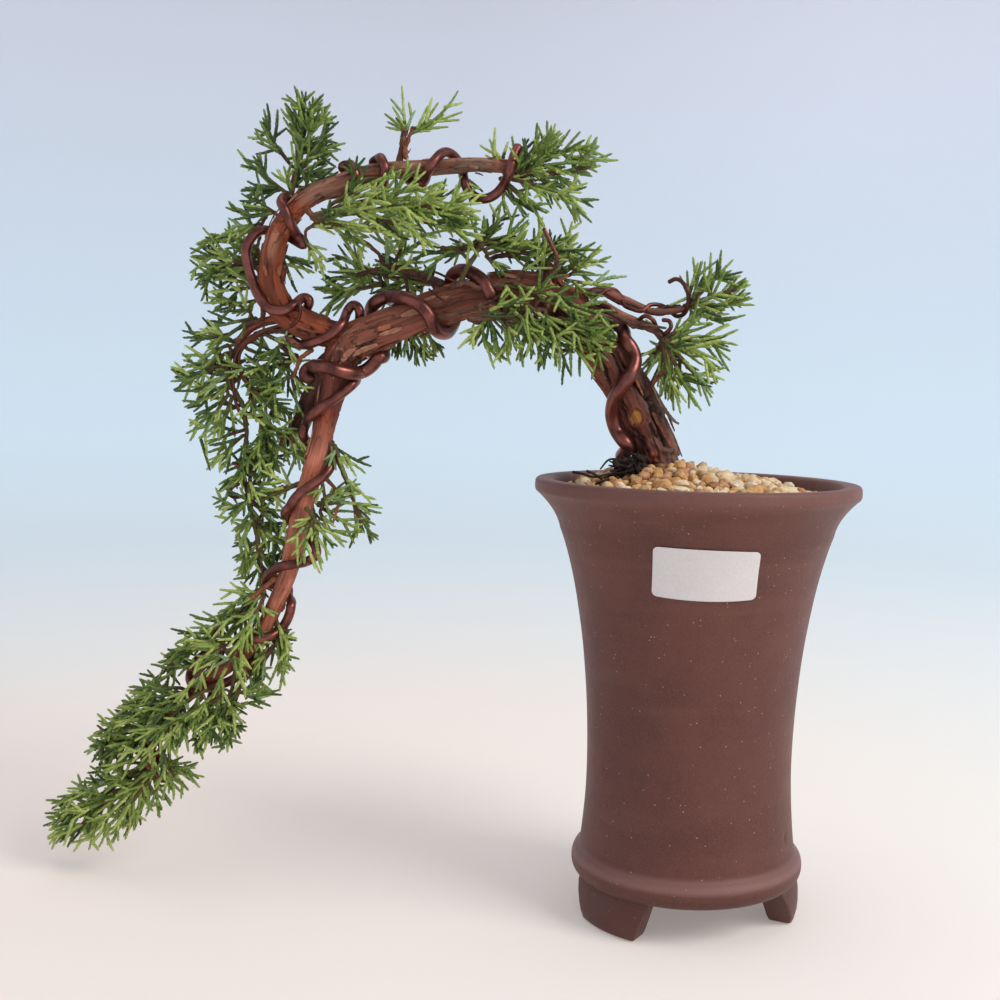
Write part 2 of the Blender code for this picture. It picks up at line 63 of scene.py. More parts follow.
def camera_axes():
    f = np.array([math.sin(CAM_YAW) * math.cos(CAM_PITCH), math.cos(CAM_YAW) * math.cos(CAM_PITCH),
                  -math.sin(CAM_PITCH)])
    r = np.array([math.cos(CAM_YAW), -math.sin(CAM_YAW), 0.0])
    u = np.cross(r, f)
    c, s = math.cos(CAM_ROLL), math.sin(CAM_ROLL)
    return c * r + s * u, -s * r + c * u, f


RIGHT, UP, AHEAD = camera_axes()


def spot(px, py, y):
    """Point in the plane y (mm) that shows at the picture position (px, py)."""
    d = AHEAD + RIGHT * (px - CENTRE_PX[0]) / FOCAL_PX - UP * (py - CENTRE_PX[1]) / FOCAL_PX
    return CAM_AT + d * ((y - CAM_AT[1]) / d[1])


def seen_at(p):
    """Picture position of points (mm)."""
    d = np.asarray(p, float) - CAM_AT
    z = d @ AHEAD
    return np.stack([CENTRE_PX[0] + FOCAL_PX * (d @ RIGHT) / z,
                     CENTRE_PX[1] - FOCAL_PX * (d @ UP) / z], -1)


def place(p):
    return np.asarray(p, float) * MM + ORIGIN


def make_camera():
    data = bpy.data.cameras.new("view_camera")
    data.sensor_fit = "HORIZONTAL"
    data.sensor_width = 36.0
    data.lens = FOCAL_PX * 36.0 / 1000.0
    data.shift_x = -(CENTRE_PX[0] - 500.0) / 1000.0
    data.shift_y = (CENTRE_PX[1] - 500.0) / 1000.0
    data.clip_start = 0.01
    data.clip_end = 50.0
    cam = bpy.data.objects.new("view_camera", data)
    m = Matrix.Identity(4)
    for k in range(3):
        m[k][0], m[k][1], m[k][2] = RIGHT[k], UP[k], -AHEAD[k]
        m[k][3] = place(CAM_AT)[k]
    cam.matrix_world = m
    bpy.context.scene.collection.objects.link(cam)
    bpy.context.scene.camera = cam


make_camera()


# ================================================================ small maths
def unit(v):
    return v / (np.linalg.norm(v) + 1e-12)


def step(lo, hi, x):
    t = np.clip((x - lo) / (hi - lo), 0.0, 1.0)
    return t * t * (3 - 2 * t)


def lattice(i, j, k, seed):
    h = (i.astype(np.uint64) * np.uint64(0x9E3779B1) ^ j.astype(np.uint64) * np.uint64(0x85EBCA77)
         ^ k.astype(np.uint64) * np.uint64(0xC2B2AE3D) ^ np.uint64(seed * 0x27D4EB2F))
    h = (h ^ (h >> np.uint64(15))) * np.uint64(0x2C1B3C6D)
    h &= np.uint64(0xFFFFFFFF)
    h = (h ^ (h >> np.uint64(12))) * np.uint64(0x297A2D39)
    h &= np.uint64(0xFFFFFFFF)
    h ^= h >> np.uint64(15)
    return (h & np.uint64(0xFFFFF)).astype(np.float64) / float(0xFFFFF) * 2 - 1


def noise(p, seed=1):
    """Smooth noise in -1..1 at points p (n, 3), about one feature per unit."""
    p = np.asarray(p, float) + 512.0
    i = np.floor(p).astype(np.int64)
    f = p - i
    f = f * f * f * (f * (f * 6 - 15) + 10)
    out = 0.0
    for a in (0, 1):
        wa = f[:, 0] if a else 1 - f[:, 0]
        for b in (0, 1):
            wb = f[:, 1] if b else 1 - f[:, 1]
            for c in (0, 1):
                wc = f[:, 2] if c else 1 - f[:, 2]
                out = out + wa * wb * wc * lattice(i[:, 0] + a, i[:, 1] + b, i[:, 2] + c, seed)
    return out


def fbm(p, seed=1, octaves=3, fall=0.5):
    out, amp, total = 0.0, 1.0, 0.0
    for o in range(octaves):
        out = out + amp * noise(np.asarray(p) * 2.0 ** o, seed + 17 * o)
        total += amp
        amp *= fall
    return out / total


def srgb(r, g, b):
    out = []
    for c in (r, g, b):
        c = c / 255.0
        out.append(c / 12.92 if c <= 0.04045 else ((c + 0.055) / 1.055) ** 2.4)
    return tuple(out)


# ================================================================ meshes
def mesh_object(name, verts, faces, materials, index=None, smooth=True, points=None):
    """A mesh object from arrays: verts (n, 3) in mm, faces one (f, k) array or several."""
    blocks = faces if isinstance(faces, list) else [faces]
    me = bpy.data.meshes.new(name)
    me.vertices.add(len(verts))
    me.vertices.foreach_set("co", place(verts).astype(np.float32).ravel())
    corners = np.concatenate([b.ravel() for b in blocks]).astype(np.int32)
    sizes = np.concatenate([np.full(len(b), b.shape[1]) for b in blocks])
    starts = np.concatenate([[0], np.cumsum(sizes)[:-1]]).astype(np.int32)
    me.loops.add(len(corners))
    me.loops.foreach_set("vertex_index", corners)
    me.polygons.add(len(sizes))
    me.polygons.foreach_set("loop_start", starts)
    if index is not None:
        me.polygons.foreach_set("material_index", np.asarray(index, np.int32))
    me.polygons.foreach_set("use_smooth", np.full(len(sizes), bool(smooth)))
    for m in materials:
        me.materials.append(m)
    me.update(calc_edges=True)
    for key, (kind, data) in (points or {}).items():
        att = me.attributes.new(key, kind, "POINT")
        field = {"FLOAT_COLOR": "color", "FLOAT_VECTOR": "vector", "FLOAT": "value"}[kind]
        att.data.foreach_set(field, np.asarray(data, np.float32).ravel())
    me.validate()
    ob = bpy.data.objects.new(name, me)
    bpy.context.scene.collection.objects.link(ob)
    return ob


def keep(ob, slot, *nodes):
    """A finished piece of the object: it rides on the one body and stands for these CAD nodes."""
    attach(ob, "root")
    if nodes:
        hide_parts(*nodes)
    return ob


TOPOLOGY = {}


def tube_faces(rings, sides):
    """Triangles of a closed tube: rings * sides points, then the two end points."""
    key = (rings, sides)
    if key not in TOPOLOGY:
        k = np.arange(sides)
        j = (k + 1) % sides
        out = []
        for i in range(rings - 1):
            lo, hi = i * sides, (i + 1) * sides
            if i % 2:
                out.append(np.stack([lo + k, lo + j, hi + j], 1))
                out.append(np.stack([lo + k, hi + j, hi + k], 1))
            else:
                out.append(np.stack([lo + k, lo + j, hi + k], 1))
                out.append(np.stack([lo + j, hi + j, hi + k], 1))
        a, b = rings * sides, rings * sides + 1
        out.append(np.stack([np.full(sides, a), j, k], 1))
        top = (rings - 1) * sides
        out.append(np.stack([np.full(sides, b), top + k, top + j], 1))
        TOPOLOGY[key] = np.concatenate(out)
    return TOPOLOGY[key]


class Heap:
    """Gathers many small closed bodies into one joined mesh."""

    def __init__(self):
        self.v, self.f, self.m, self.n, self.tris = [], [], [], 0, 0
        self.g = []

    def add(self, verts, faces, mat=0):
        self.v.append(verts)
        self.f.append(faces + self.n)
        self.m.append(np.full(len(faces), mat))
        self.n += len(verts)
        self.tris += len(faces)

    def build(self, name, materials, smooth=True):
        return mesh_object(name, np.concatenate(self.v), np.concatenate(self.f), materials,
                           np.concatenate(self.m), smooth)


def carried_frames(path):
    """Unit tangents and two normals carried along a path without twisting."""
    n = len(path)
    t = np.zeros((n, 3))
    t[1:-1] = path[2:] - path[:-2]
    t[0], t[-1] = path[1] - path[0], path[-1] - path[-2]
    t /= np.linalg.norm(t, axis=1)[:, None] + 1e-12
    e1 = np.zeros((n, 3))
    ref = np.array([0.0, -1.0, 0.0])
    if abs(ref @ t[0]) > 0.9:
        ref = np.array([1.0, 0.0, 0.0])
    for i in range(n):
        ref = unit(ref - t[i] * (ref @ t[i]))
        e1[i] = ref
    return t, e1, np.cross(t, e1)


def tube(heap, path, radii, sides=8, mat=0, flat=1.0, turn=0.0, round_ends=True):
    """A tube of varying radius; `flat` squeezes it along its first normal."""
    path = np.asarray(path, float)
    radii = np.broadcast_to(np.asarray(radii, float), (len(path),)).copy()
    t, e1, e2 = carried_frames(path)
    a = 2 * np.pi * np.arange(sides) / sides + turn
    if round_ends:
        r0, r1 = radii[0], radii[-1]
        path = np.concatenate([[path[0] - t[0] * r0 * 0.45 * flat], path,
                               [path[-1] + t[-1] * r1 * 0.45 * flat]])
        radii = np.concatenate([[r0 * 0.6], radii, [r1 * 0.6]])
        t = np.concatenate([t[:1], t, t[-1:]])
        e1 = np.concatenate([e1[:1], e1, e1[-1:]])
        e2 = np.concatenate([e2[:1], e2, e2[-1:]])
    ring = (path[:, None, :] + radii[:, None, None] * (e1[:, None, :] * np.cos(a)[None, :, None] * flat
            + e2[:, None, :] * np.sin(a)[None, :, None]))
    ends = np.stack([path[0] - t[0] * radii[0] * 0.25 * flat, path[-1] + t[-1] * radii[-1] * 0.25 * flat])
    heap.add(np.concatenate([ring.reshape(-1, 3), ends]), tube_faces(len(path), sides), mat)


def smooth_path(points, spacing=1.0):
    """Catmull-Rom curve through points, resampled at about `spacing` mm."""
    p = np.asarray(points, float)
    p = np.concatenate([[2 * p[0] - p[1]], p, [2 * p[-1] - p[-2]]])
    out = []
    for i in range(1, len(p) - 2):
        n = max(2, int(np.ceil(np.linalg.norm(p[i + 1][:3] - p[i][:3]) / spacing * 2)))
        s = (np.arange(n) / n)[:, None]
        out.append(0.5 * (2 * p[i] + (p[i + 1] - p[i - 1]) * s
                          + (2 * p[i - 1] - 5 * p[i] + 4 * p[i + 1] - p[i + 2]) * s ** 2
                          + (3 * p[i] - p[i - 1] - 3 * p[i + 1] + p[i + 2]) * s ** 3))
    out.append(p[-2][None])
    out = np.concatenate(out)
    length = np.concatenate([[0], np.cumsum(np.linalg.norm(np.diff(out[:, :3], axis=0), axis=1))])
    want = np.linspace(0, length[-1], max(3, int(round(length[-1] / spacing)) + 1))
    return np.stack([np.interp(want, length, out[:, k]) for k in range(out.shape[1])], 1)


# ================================================================ shader nodes
class Shader:
    """A few short names for building node materials."""

    def __init__(self, name):
        self.mat = bpy.data.materials.new(name)
        self.mat.use_nodes = True
        self.nt = self.mat.node_tree
        self.bsdf = self.nt.nodes["Principled BSDF"]
        self.x = -300

    def node(self, kind, **props):
        n = self.nt.nodes.new(kind)
        self.x -= 160
        n.location = (self.x, 0)
        for k, v in props.items():
            setattr(n, k, v)
        return n

    def wire(self, out, inp):
        self.nt.links.new(out, inp)

    def put(self, node, **inputs):
        for key, v in inputs.items():
            sock = node.inputs[key.replace("_", " ")] if key.replace("_", " ") in node.inputs else node.inputs[int(key[1:])]
            if isinstance(v, bpy.types.NodeSocket):
                self.wire(v, sock)
            else:
                sock.default_value = v
        return node

    def object_coords(self):
        return self.node("ShaderNodeTexCoord").outputs["Object"]

    def attribute(self, name, out="Vector"):
        return self.node("ShaderNodeAttribute", attribute_name=name).outputs[out]

    def scaled(self, vec, scale):
        n = self.node("ShaderNodeMapping")
        self.put(n, Vector=vec, Scale=scale)
        return n.outputs[0]

    def noise(self, vec, scale, detail=3.0, rough=0.5, distort=0.0):
        n = self.node("ShaderNodeTexNoise")
        self.put(n, Vector=vec, Scale=scale, Detail=detail, Roughness=rough, Distortion=distort)
        return n.outputs["Fac"]

    def cells(self, vec, scale, feature="F1", out="Distance", rand=1.0):
        n = self.node("ShaderNodeTexVoronoi", feature=feature)
        self.put(n, Vector=vec, Scale=scale, Randomness=rand)
        return n.outputs[out]

    def ramp(self, fac, *stops, mode="EASE"):
        n = self.node("ShaderNodeValToRGB")
        n.color_ramp.interpolation = mode
        el = n.color_ramp.elements
        while len(el) < len(stops):
            el.new(0.5)
        for e, (pos, col) in zip(el, stops):
            e.position = pos
            e.color = (*col, 1.0) if isinstance(col, tuple) else (col, col, col, 1.0)
        self.wire(fac, n.inputs[0])
        return n.outputs[0]

    def mix(self, fac, a, b, mode="MIX"):
        n = self.node("ShaderNodeMix", data_type="RGBA", blend_type=mode)
        for sock, v in ((n.inputs[0], fac), (n.inputs[6], a), (n.inputs[7], b)):
            if isinstance(v, bpy.types.NodeSocket):
                self.wire(v, sock)
            elif isinstance(v, tuple):
                sock.default_value = (*v, 1.0)
            else:
                sock.default_value = v
        return n.outputs[2]

    def math(self, op, a, b=0.0):
        n = self.node("ShaderNodeMath", operation=op)
        for sock, v in ((n.inputs[0], a), (n.inputs[1], b)):
            if isinstance(v, bpy.types.NodeSocket):
                self.wire(v, sock)
            else:
                sock.default_value = v
        return n.outputs[0]

    def span(self, fac, lo, hi):
        """A 0..1 value stretched to lo..hi."""
        n = self.node("ShaderNodeMapRange")
        self.put(n, Value=fac)
        n.inputs["To Min"].default_value = lo
        n.inputs["To Max"].default_value = hi
        return n.outputs[0]

    def bump(self, height, strength, distance, normal=None):
        n = self.node("ShaderNodeBump")
        self.put(n, Height=height, Strength=strength, Distance=distance)
        if normal is not None:
            self.wire(normal, n.inputs["Normal"])
        return n.outputs[0]

    def finish(self, colour=None, rough=None, normal=None, **fixed):
        for sock, v in (("Base Color", colour), ("Roughness", rough), ("Normal", normal)):
            if v is None:
                continue
            if isinstance(v, bpy.types.NodeSocket):
                self.wire(v, self.bsdf.inputs[sock])
            elif isinstance(v, tuple):
                self.bsdf.inputs[sock].default_value = (*v, 1.0)
            else:
                self.bsdf.inputs[sock].default_value = v
        for key, v in fixed.items():
            self.bsdf.inputs[key.replace("_", " ")].default_value = v
        return self.mat


def clay_material(name, body=srgb(98, 51, 41), deep=srgb(84, 41, 32), light=srgb(126, 80, 68)):
    s = Shader(name)
    co = s.object_coords()
    broad = s.noise(co, 26.0, 4.0, 0.55)
    col = s.mix(s.ramp(broad, (0.32, 0.0), (0.68, 1.0)), deep, body)
    drag = s.noise(s.scaled(co, (14.0, 14.0, 110.0)), 1.0, 3.0, 0.5)
    col = s.mix(s.ramp(drag, (0.45, 0.0), (0.8, 0.22)), col, light)
    fine = s.noise(co, 1400.0, 2.0, 0.6)
    col = s.mix(s.ramp(fine, (0.35, 0.0), (0.75, 0.30)), col, light)
    specks = s.cells(co, 420.0)
    keepers = s.noise(co, 230.0, 1.0, 0.5)
    speck = s.math("MULTIPLY", s.ramp(specks, (0.05, 1.0), (0.16, 0.0)), s.ramp(keepers, (0.54, 0.0), (0.61, 0.95)))
    col = s.mix(speck, col, srgb(186, 158, 140))
    pits = s.cells(co, 300.0)
    darker = s.math("MULTIPLY", s.ramp(pits, (0.04, 1.0), (0.12, 0.0)), s.ramp(s.noise(co, 170.0, 1.0), (0.60, 0.0), (0.66, 0.8)))
    col = s.mix(darker, col, srgb(52, 30, 26))
    sep = s.node("ShaderNodeSeparateXYZ")
    s.wire(co, sep.inputs[0])
    # painted highlight: the clay turns lighter at the top of the lip, where it catches the light from above
    col = s.mix(s.ramp(s.math("MULTIPLY", sep.outputs["Z"], 4.0), (0.765, 0.0), (0.790, 0.36)), col, srgb(134, 92, 82))
    tall = s.math("MULTIPLY", sep.outputs["Z"], 4.0)
    # painted highlight: a lighter band along the top of the foot ring, standing in for the reflection of the light
    # above
    col = s.mix(s.ramp(tall, (0.096, 0.0), (0.107, 0.55), (0.116, 0.45), (0.127, 0.0)), col, srgb(150, 110, 102))
    # painted shade: the clay turns darker below the foot ring, on its underside and on the feet
    col = s.mix(s.ramp(tall, (0.078, 0.50), (0.102, 0.0)), col, srgb(66, 32, 25))
    n = s.bump(fine, 0.35, 0.00025)
    n = s.bump(s.noise(co, 320.0, 3.0, 0.6), 0.30, 0.0006, n)
    n = s.bump(s.math("SUBTRACT", 1.0, darker), 0.5, 0.0005, n)
    rough = s.span(s.noise(co, 90.0, 3.0), 0.50, 0.66)
    return s.finish(col, rough, n, Specular_IOR_Level=0.45, Sheen_Weight=0.10, Sheen_Roughness=0.40,
                    Sheen_Tint=(0.95, 0.80, 0.76, 1.0))


def bark_material(name):
    """Bark painted by the mesh's own colours, with fibres that run along the limb."""
    s = Shader(name)
    paint = s.attribute("bark", "Color")
    grain = s.attribute("grain", "Vector")
    fibre = s.noise(s.scaled(grain, (0.95, 0.95, 0.05)), 1.0, 4.0, 0.6, 0.4)
    threads = s.noise(s.scaled(grain, (3.2, 3.2, 0.16)), 1.0, 2.0, 0.6)
    cross = s.noise(s.scaled(grain, (0.30, 0.30, 1.6)), 1.0, 3.0, 0.55)
    col = s.mix(s.ramp(fibre, (0.30, 0.40), (0.60, 0.0)), paint, srgb(58, 29, 21))
    col = s.mix(s.ramp(threads, (0.58, 0.0), (0.82, 0.24)), col, srgb(205, 152, 120))
    col = s.mix(s.ramp(cross, (0.62, 0.0), (0.74, 0.28)), col, srgb(74, 38, 28))
    n = s.bump(fibre, 0.55, 0.0008)
    n = s.bump(threads, 0.35, 0.0004, n)
    n = s.bump(cross, 0.20, 0.0004, n)
    rough = s.span(threads, 0.62, 0.85)
    return s.finish(col, rough, n, Specular_IOR_Level=0.35)


def twig_material(name, low, high, pale):
    s = Shader(name)
    co = s.object_coords()
    a = s.noise(co, 260.0, 4.0, 0.6)
    col = s.mix(s.ramp(a, (0.35, 0.0), (0.65, 1.0)), low, high)
    b = s.noise(co, 900.0, 3.0, 0.6)
    col = s.mix(s.ramp(b, (0.58, 0.0), (0.72, 0.7)), col, pale)
    n = s.bump(b, 0.7, 0.0005)
    return s.finish(col, s.span(a, 0.68, 0.88), n, Specular_IOR_Level=0.3)


def leaf_material(name, base, shade, glow):
    s = Shader(name)
    co = s.object_coords()
    a = s.noise(co, 330.0, 3.0, 0.55)
    col = s.mix(s.ramp(a, (0.34, 0.0), (0.66, 1.0)), shade, base)
    # fine light flecks in the painted glint colour: painted highlights on the scale leaves
    b = s.noise(co, 1500.0, 2.0, 0.5)
    col = s.mix(s.ramp(b, (0.50, 0.0), (0.75, 0.55)), col, glow)
    n = s.bump(b, 0.45, 0.0003)
    return s.finish(col, s.span(b, 0.40, 0.58), n, Specular_IOR_Level=0.42)


def wire_material(name, body, dull):
    s = Shader(name)
    co = s.object_coords()
    a = s.noise(co, 140.0, 3.0, 0.5)
    col = s.mix(s.ramp(a, (0.35, 0.0), (0.7, 1.0)), body, dull)
    # fine pale copper flecks: painted glints of light along the wire; the same noise gives a faint bump
    painted_glint_fleck = s.noise(co, 1300.0, 2.0, 0.5)
    col = s.mix(s.ramp(painted_glint_fleck, (0.62, 0.0), (0.78, 0.35)), col, srgb(196, 134, 104))
    n = s.bump(painted_glint_fleck, 0.12, 0.0002)
    return s.finish(col, s.span(a, 0.27, 0.40), n, Metallic=0.82, Specular_IOR_Level=0.5)


def stone_material(name, base, vein):
    s = Shader(name)
    co = s.object_coords()
    a = s.noise(co, 240.0, 5.0, 0.62)
    col = s.mix(s.ramp(a, (0.36, 0.0), (0.66, 1.0)), vein, base)
    b = s.noise(co, 1800.0, 3.0, 0.6)
    col = s.mix(s.ramp(b, (0.60, 0.0), (0.75, 0.45)), col, srgb(238, 228, 208))
    n = s.bump(b, 0.55, 0.0003)
    n = s.bump(a, 0.4, 0.0008, n)
    return s.finish(col, s.span(b, 0.72, 0.92), n, Specular_IOR_Level=0.35)


# ================================================================ pot
WAIST_R, WAIST_Z, FLARE_TOP, FLARE_R, FLARE_LIP, SKIRT_R = 47.8, 70.0, 114.0, 14.8, 3.0, 2.55
RIM_TOP = 201.3


def wall_radius(z):
    if z >= WAIST_Z:
        t = (z - WAIST_Z) / FLARE_TOP
        return WAIST_R + FLARE_R * t ** 2 + FLARE_LIP * t ** 8
    return WAIST_R + SKIRT_R * ((WAIST_Z - z) / 40.0) ** 2


def turned(name, profile, sides, materials, wobble=0.0, dents=()):
    """A closed turned body; the profile is a closed loop of (radius, z)."""
    prof = np.asarray(profile, float)
    n = len(prof)
    a = 2 * np.pi * np.arange(sides) / sides
    r = np.repeat(prof[:, 0][:, None], sides, 1)
    z = np.repeat(prof[:, 1][:, None], sides, 1)
    if wobble:
        q = np.stack([r * np.sin(a), -r * np.cos(a), z], -1).reshape(-1, 3)
        r = r + (wobble * noise(q / 38.0, 5) + wobble * 0.5 * noise(q / 14.0, 9)).reshape(r.shape) * (r > 20)
    v = np.stack([r * np.sin(a), -r * np.cos(a), z], -1)
    for angle, height, radius, depth in dents:
        g = math.radians(angle)
        c = np.array([wall_radius(height) * math.sin(g), -wall_radius(height) * math.cos(g), height])
        d = np.linalg.norm(v - c, axis=-1)
        pull = depth * np.exp(-(d / radius) ** 2)
        v[..., 0] -= pull * math.sin(g)
        v[..., 1] += pull * math.cos(g)
    idx = np.arange(n * sides).reshape(n, sides)
    nxt = np.roll(idx, -1, 0)
    quads = np.stack([idx, nxt, np.roll(nxt, -1, 1), np.roll(idx, -1, 1)], -1).reshape(-1, 4)
    ob = mesh_object(name, v.reshape(-1, 3), quads, materials)
    bm = bmesh.new()
    bm.from_mesh(ob.data)
    bmesh.ops.recalc_face_normals(bm, faces=bm.faces)
    bm.to_mesh(ob.data)
    bm.free()
    return ob


def rounded(points, spacing):
    """A profile through points, rounded as a smooth curve."""
    p = smooth_path([(r, 0.0, z) for r, z in points], spacing)
    return [(q[0], q[2]) for q in p]


def build_pot():
    clay = clay_material("pot_clay")
    hole = 8.0
    outer = [(hole + 1.2, 17.5), (20.0, 17.5), (34.0, 17.5), (44.0, 17.5)]
    outer += rounded([(49.2, 17.5), (51.2, 17.9), (52.8, 19.2), (53.75, 21.2), (54.0, 23.8), (53.6, 26.2),
                      (52.5, 28.2), (51.0, 29.6), (50.25, 31.2)], 0.6)
    outer += [(wall_radius(z), z) for z in np.linspace(33.0, 176.0, 80)]
    low, edge = wall_radius(178.0), 73.6
    flare = []
    for k in range(12):
        t = k / 11
        flare.append((low + (edge - low) * (0.34 * t + 0.66 * t ** 2.1), 178.0 + 16.6 * t))
    outer += rounded(flare + [(74.6, 195.5), (75.0, 196.8), (75.0, 199.2), (74.7, 200.5), (73.8, 201.2), (71.6, 201.3),
                              (68.6, 201.2), (67.0, 200.6), (66.0, 199.0), (65.2, 195.6)], 0.5)
    inner = [(wall_radius(z) - 6.2, z) for z in (190.0, 184.0, 176.0, 165.0, 150.0, 130.0, 110.0, 90.0, 70.0, 50.0, 36.0)]
    inner += [(40.5, 29.0), (38.0, 25.5), (24.0, 25.5), (hole + 1.0, 25.5), (hole, 24.6), (hole, 18.4)]
    pot = turned("pot_body", outer + inner, 240, [clay], 0.16,
                 dents=((64.8, 41.2, 1.3, 1.1), (72.4, 170.9, 1.0, 0.9), (-31.0, 118.0, 0.8, 0.5), (15.0, 61.0, 0.7, 0.45),
                        (150.0, 96.0, 1.1, 0.7), (-120.0, 132.0, 0.9, 0.6), (200.0, 52.0, 0.9, 0.5)))
    keep(pot, "clay", "pot")
    mesh_mat = twig_material("drain_mesh_plastic", srgb(20, 22, 22), srgb(34, 36, 36), srgb(50, 52, 52))
    net = Heap()
    for k in range(-4, 5):
        x = k * 2.1
        h = math.sqrt(max(0.0, 9.6 ** 2 - x ** 2))
        tube(net, [(x, -h, 26.0), (x, 0, 26.0), (x, h, 26.0)], 0.35, 6)
        tube(net, [(-h, x, 26.3), (0, x, 26.3), (h, x, 26.3)], 0.35, 6)
    keep(net.build("drain_mesh", [mesh_mat]), "substrate")

    side = ((51.6, 19.2), (52.3, 16.2), (52.9, 12.0), (53.0, 7.6), (52.8, 4.0), (52.0, 0.9), (51.2, 0.0),
            (41.5, 0.0), (40.4, 3.0), (39.8, 9.0), (39.6, 19.2))
    for name, centre in (("foot_front", -44.0), ("foot_right", 83.0), ("foot_rear", 199.5)):
        cuts = 14
        rows = []
        for i in range(cuts + 1):
            s = -1 + 2 * i / cuts
            for r, z in side:
                share = min(z / 17.35, 1.0)
                half = (19.0 + 8.0 * share ** 1.15) if name != "foot_right" else (12.5 + 14.5 * share ** 1.1)
                a = math.radians(centre + half * s)
                rows.append((r * math.sin(a), -r * math.cos(a), z))
        k = len(side)
        v = np.array(rows)
        v = v + 0.12 * np.stack([noise(v / 6.0, 3 + j) for j in range(3)], -1) * (v[:, 2:3] > 0.1)
        idx = np.arange((cuts + 1) * k).reshape(cuts + 1, k)
        quads = np.stack([idx[:-1], idx[1:], np.roll(idx[1:], -1, 1), np.roll(idx[:-1], -1, 1)], -1).reshape(-1, 4)
        ob = mesh_object(name + "_clay", v, [quads, idx[0][None, ::1], idx[-1][None, ::-1]], [clay], smooth=True)
        bm = bmesh.new()
        bm.from_mesh(ob.data)
        bmesh.ops.recalc_face_normals(bm, faces=bm.faces)
        bm.to_mesh(ob.data)
        bm.free()
        mod = ob.modifiers.new("soft_edges", "BEVEL")
        mod.width = 0.0013
        mod.segments = 4
        mod.limit_method = "ANGLE"
        mod.angle_limit = math.radians(38)
        keep(ob, "clay", name)


# ================================================================ label: a blank sticker
def build_label():
    s = Shader("label_paper")
    co = s.object_coords()
    fibres = s.noise(s.scaled(co, (900.0, 900.0, 900.0)), 1.0, 4.0, 0.65, 0.6)
    cloud = s.noise(co, 70.0, 2.0)
    col = s.mix(s.ramp(fibres, (0.3, 0.0), (0.7, 1.0)), srgb(216, 205, 202), srgb(224, 215, 212))
    col = s.mix(s.ramp(cloud, (0.45, 0.0), (0.8, 0.25)), col, srgb(207, 195, 191))
    paper = s.finish(col, s.span(fibres, 0.36, 0.44), s.bump(fibres, 0.05, 0.00008), Specular_IOR_Level=0.5,
                     Coat_Weight=0.15, Coat_Roughness=0.3)
    # corners measured round the wall: angle (degrees) and height
    tl, tr, br, bl = (-16.3, 177.1), (26.0, 175.8), (27.3, 154.8), (-18.4, 155.4)
    cols, rows, corner = 88, 44, 2.1
    wide, tall = 40.5, 21.3
    grid = np.zeros((rows + 1, cols + 1, 2))
    for j in range(rows + 1):
        v = j / rows
        for i in range(cols + 1):
            u = i / cols
            # squeeze the outer rows and columns so that the outline has round corners
            x, y = (u - 0.5) * wide, (v - 0.5) * tall
            dx, dy = abs(x) - (wide / 2 - corner), abs(y) - (tall / 2 - corner)
            if dx > 0 and dy > 0:
                reach = math.hypot(dx, dy)
                square = max(dx, dy)
                x = math.copysign(wide / 2 - corner + dx * square / reach, x)
                y = math.copysign(tall / 2 - corner + dy * square / reach, y)
            uu, vv = x / wide + 0.5, y / tall + 0.5
            bow = -1.1 * (1 - (2 * uu - 1) ** 2) * (1 - vv)
            ang = (bl[0] * (1 - uu) + br[0] * uu) * (1 - vv) + (tl[0] * (1 - uu) + tr[0] * uu) * vv
            hgt = (bl[1] * (1 - uu) + br[1] * uu) * (1 - vv) + (tl[1] * (1 - uu) + tr[1] * uu) * vv
            grid[j, i] = ang, hgt + bow
    layers = []
    for lift in (0.32, 0.60):
        a = np.radians(grid[..., 0])
        z = grid[..., 1]
        r = np.vectorize(wall_radius)(z) + lift + 0.16
        edge = np.minimum.reduce([np.arange(rows + 1)[:, None] + 0 * a, rows - np.arange(rows + 1)[:, None] + 0 * a,
                                  np.arange(cols + 1)[None] + 0 * a, cols - np.arange(cols + 1)[None] + 0 * a])
        r = r - 0.12 * (edge < 1)
        q = np.stack([r * np.sin(a), -r * np.cos(a), z], -1)
        r2 = r + 0.05 * noise(q.reshape(-1, 3) / 7.0, 21).reshape(r.shape)
        layers.append(np.stack([r2 * np.sin(a), -r2 * np.cos(a), z], -1).reshape(-1, 3))
    n = (rows + 1) * (cols + 1)
    idx = np.arange(n).reshape(rows + 1, cols + 1)
    quad = np.stack([idx[:-1, :-1], idx[:-1, 1:], idx[1:, 1:], idx[1:, :-1]], -1).reshape(-1, 4)
    rim = np.concatenate([idx[0, :-1], idx[:-1, -1], idx[-1, :0:-1], idx[:0:-1, 0]])
    nxt = np.roll(rim, -1)
    band = np.stack([rim, nxt, nxt + n, rim + n], -1)
    ob = mesh_object("label_sticker", np.concatenate(layers), np.concatenate([quad[:, ::-1], quad + n, band]), [paper])
    ob.data.set_sharp_from_angle(angle=math.radians(50))
    keep(ob, "label", "label")


# ================================================================ substrate
def soil_height(x, y):
    ridge = np.interp(x, (-64, -52, -42, -30, -20, -8, 3, 13, 20, 29, 41, 51, 62),
                      (195.4, 198.0, 201.5, 206.5, 209.2, 208.6, 205.4, 202.8, 202.0, 200.4, 197.6, 194.6, 191.0))
    low = np.minimum(198.2 - 5.5 * step(22.0, 60.0, x) - 2.0 * step(30.0, 62.0, -x), ridge)
    return low + (ridge - low) * np.exp(-(y / 36.0) ** 2)


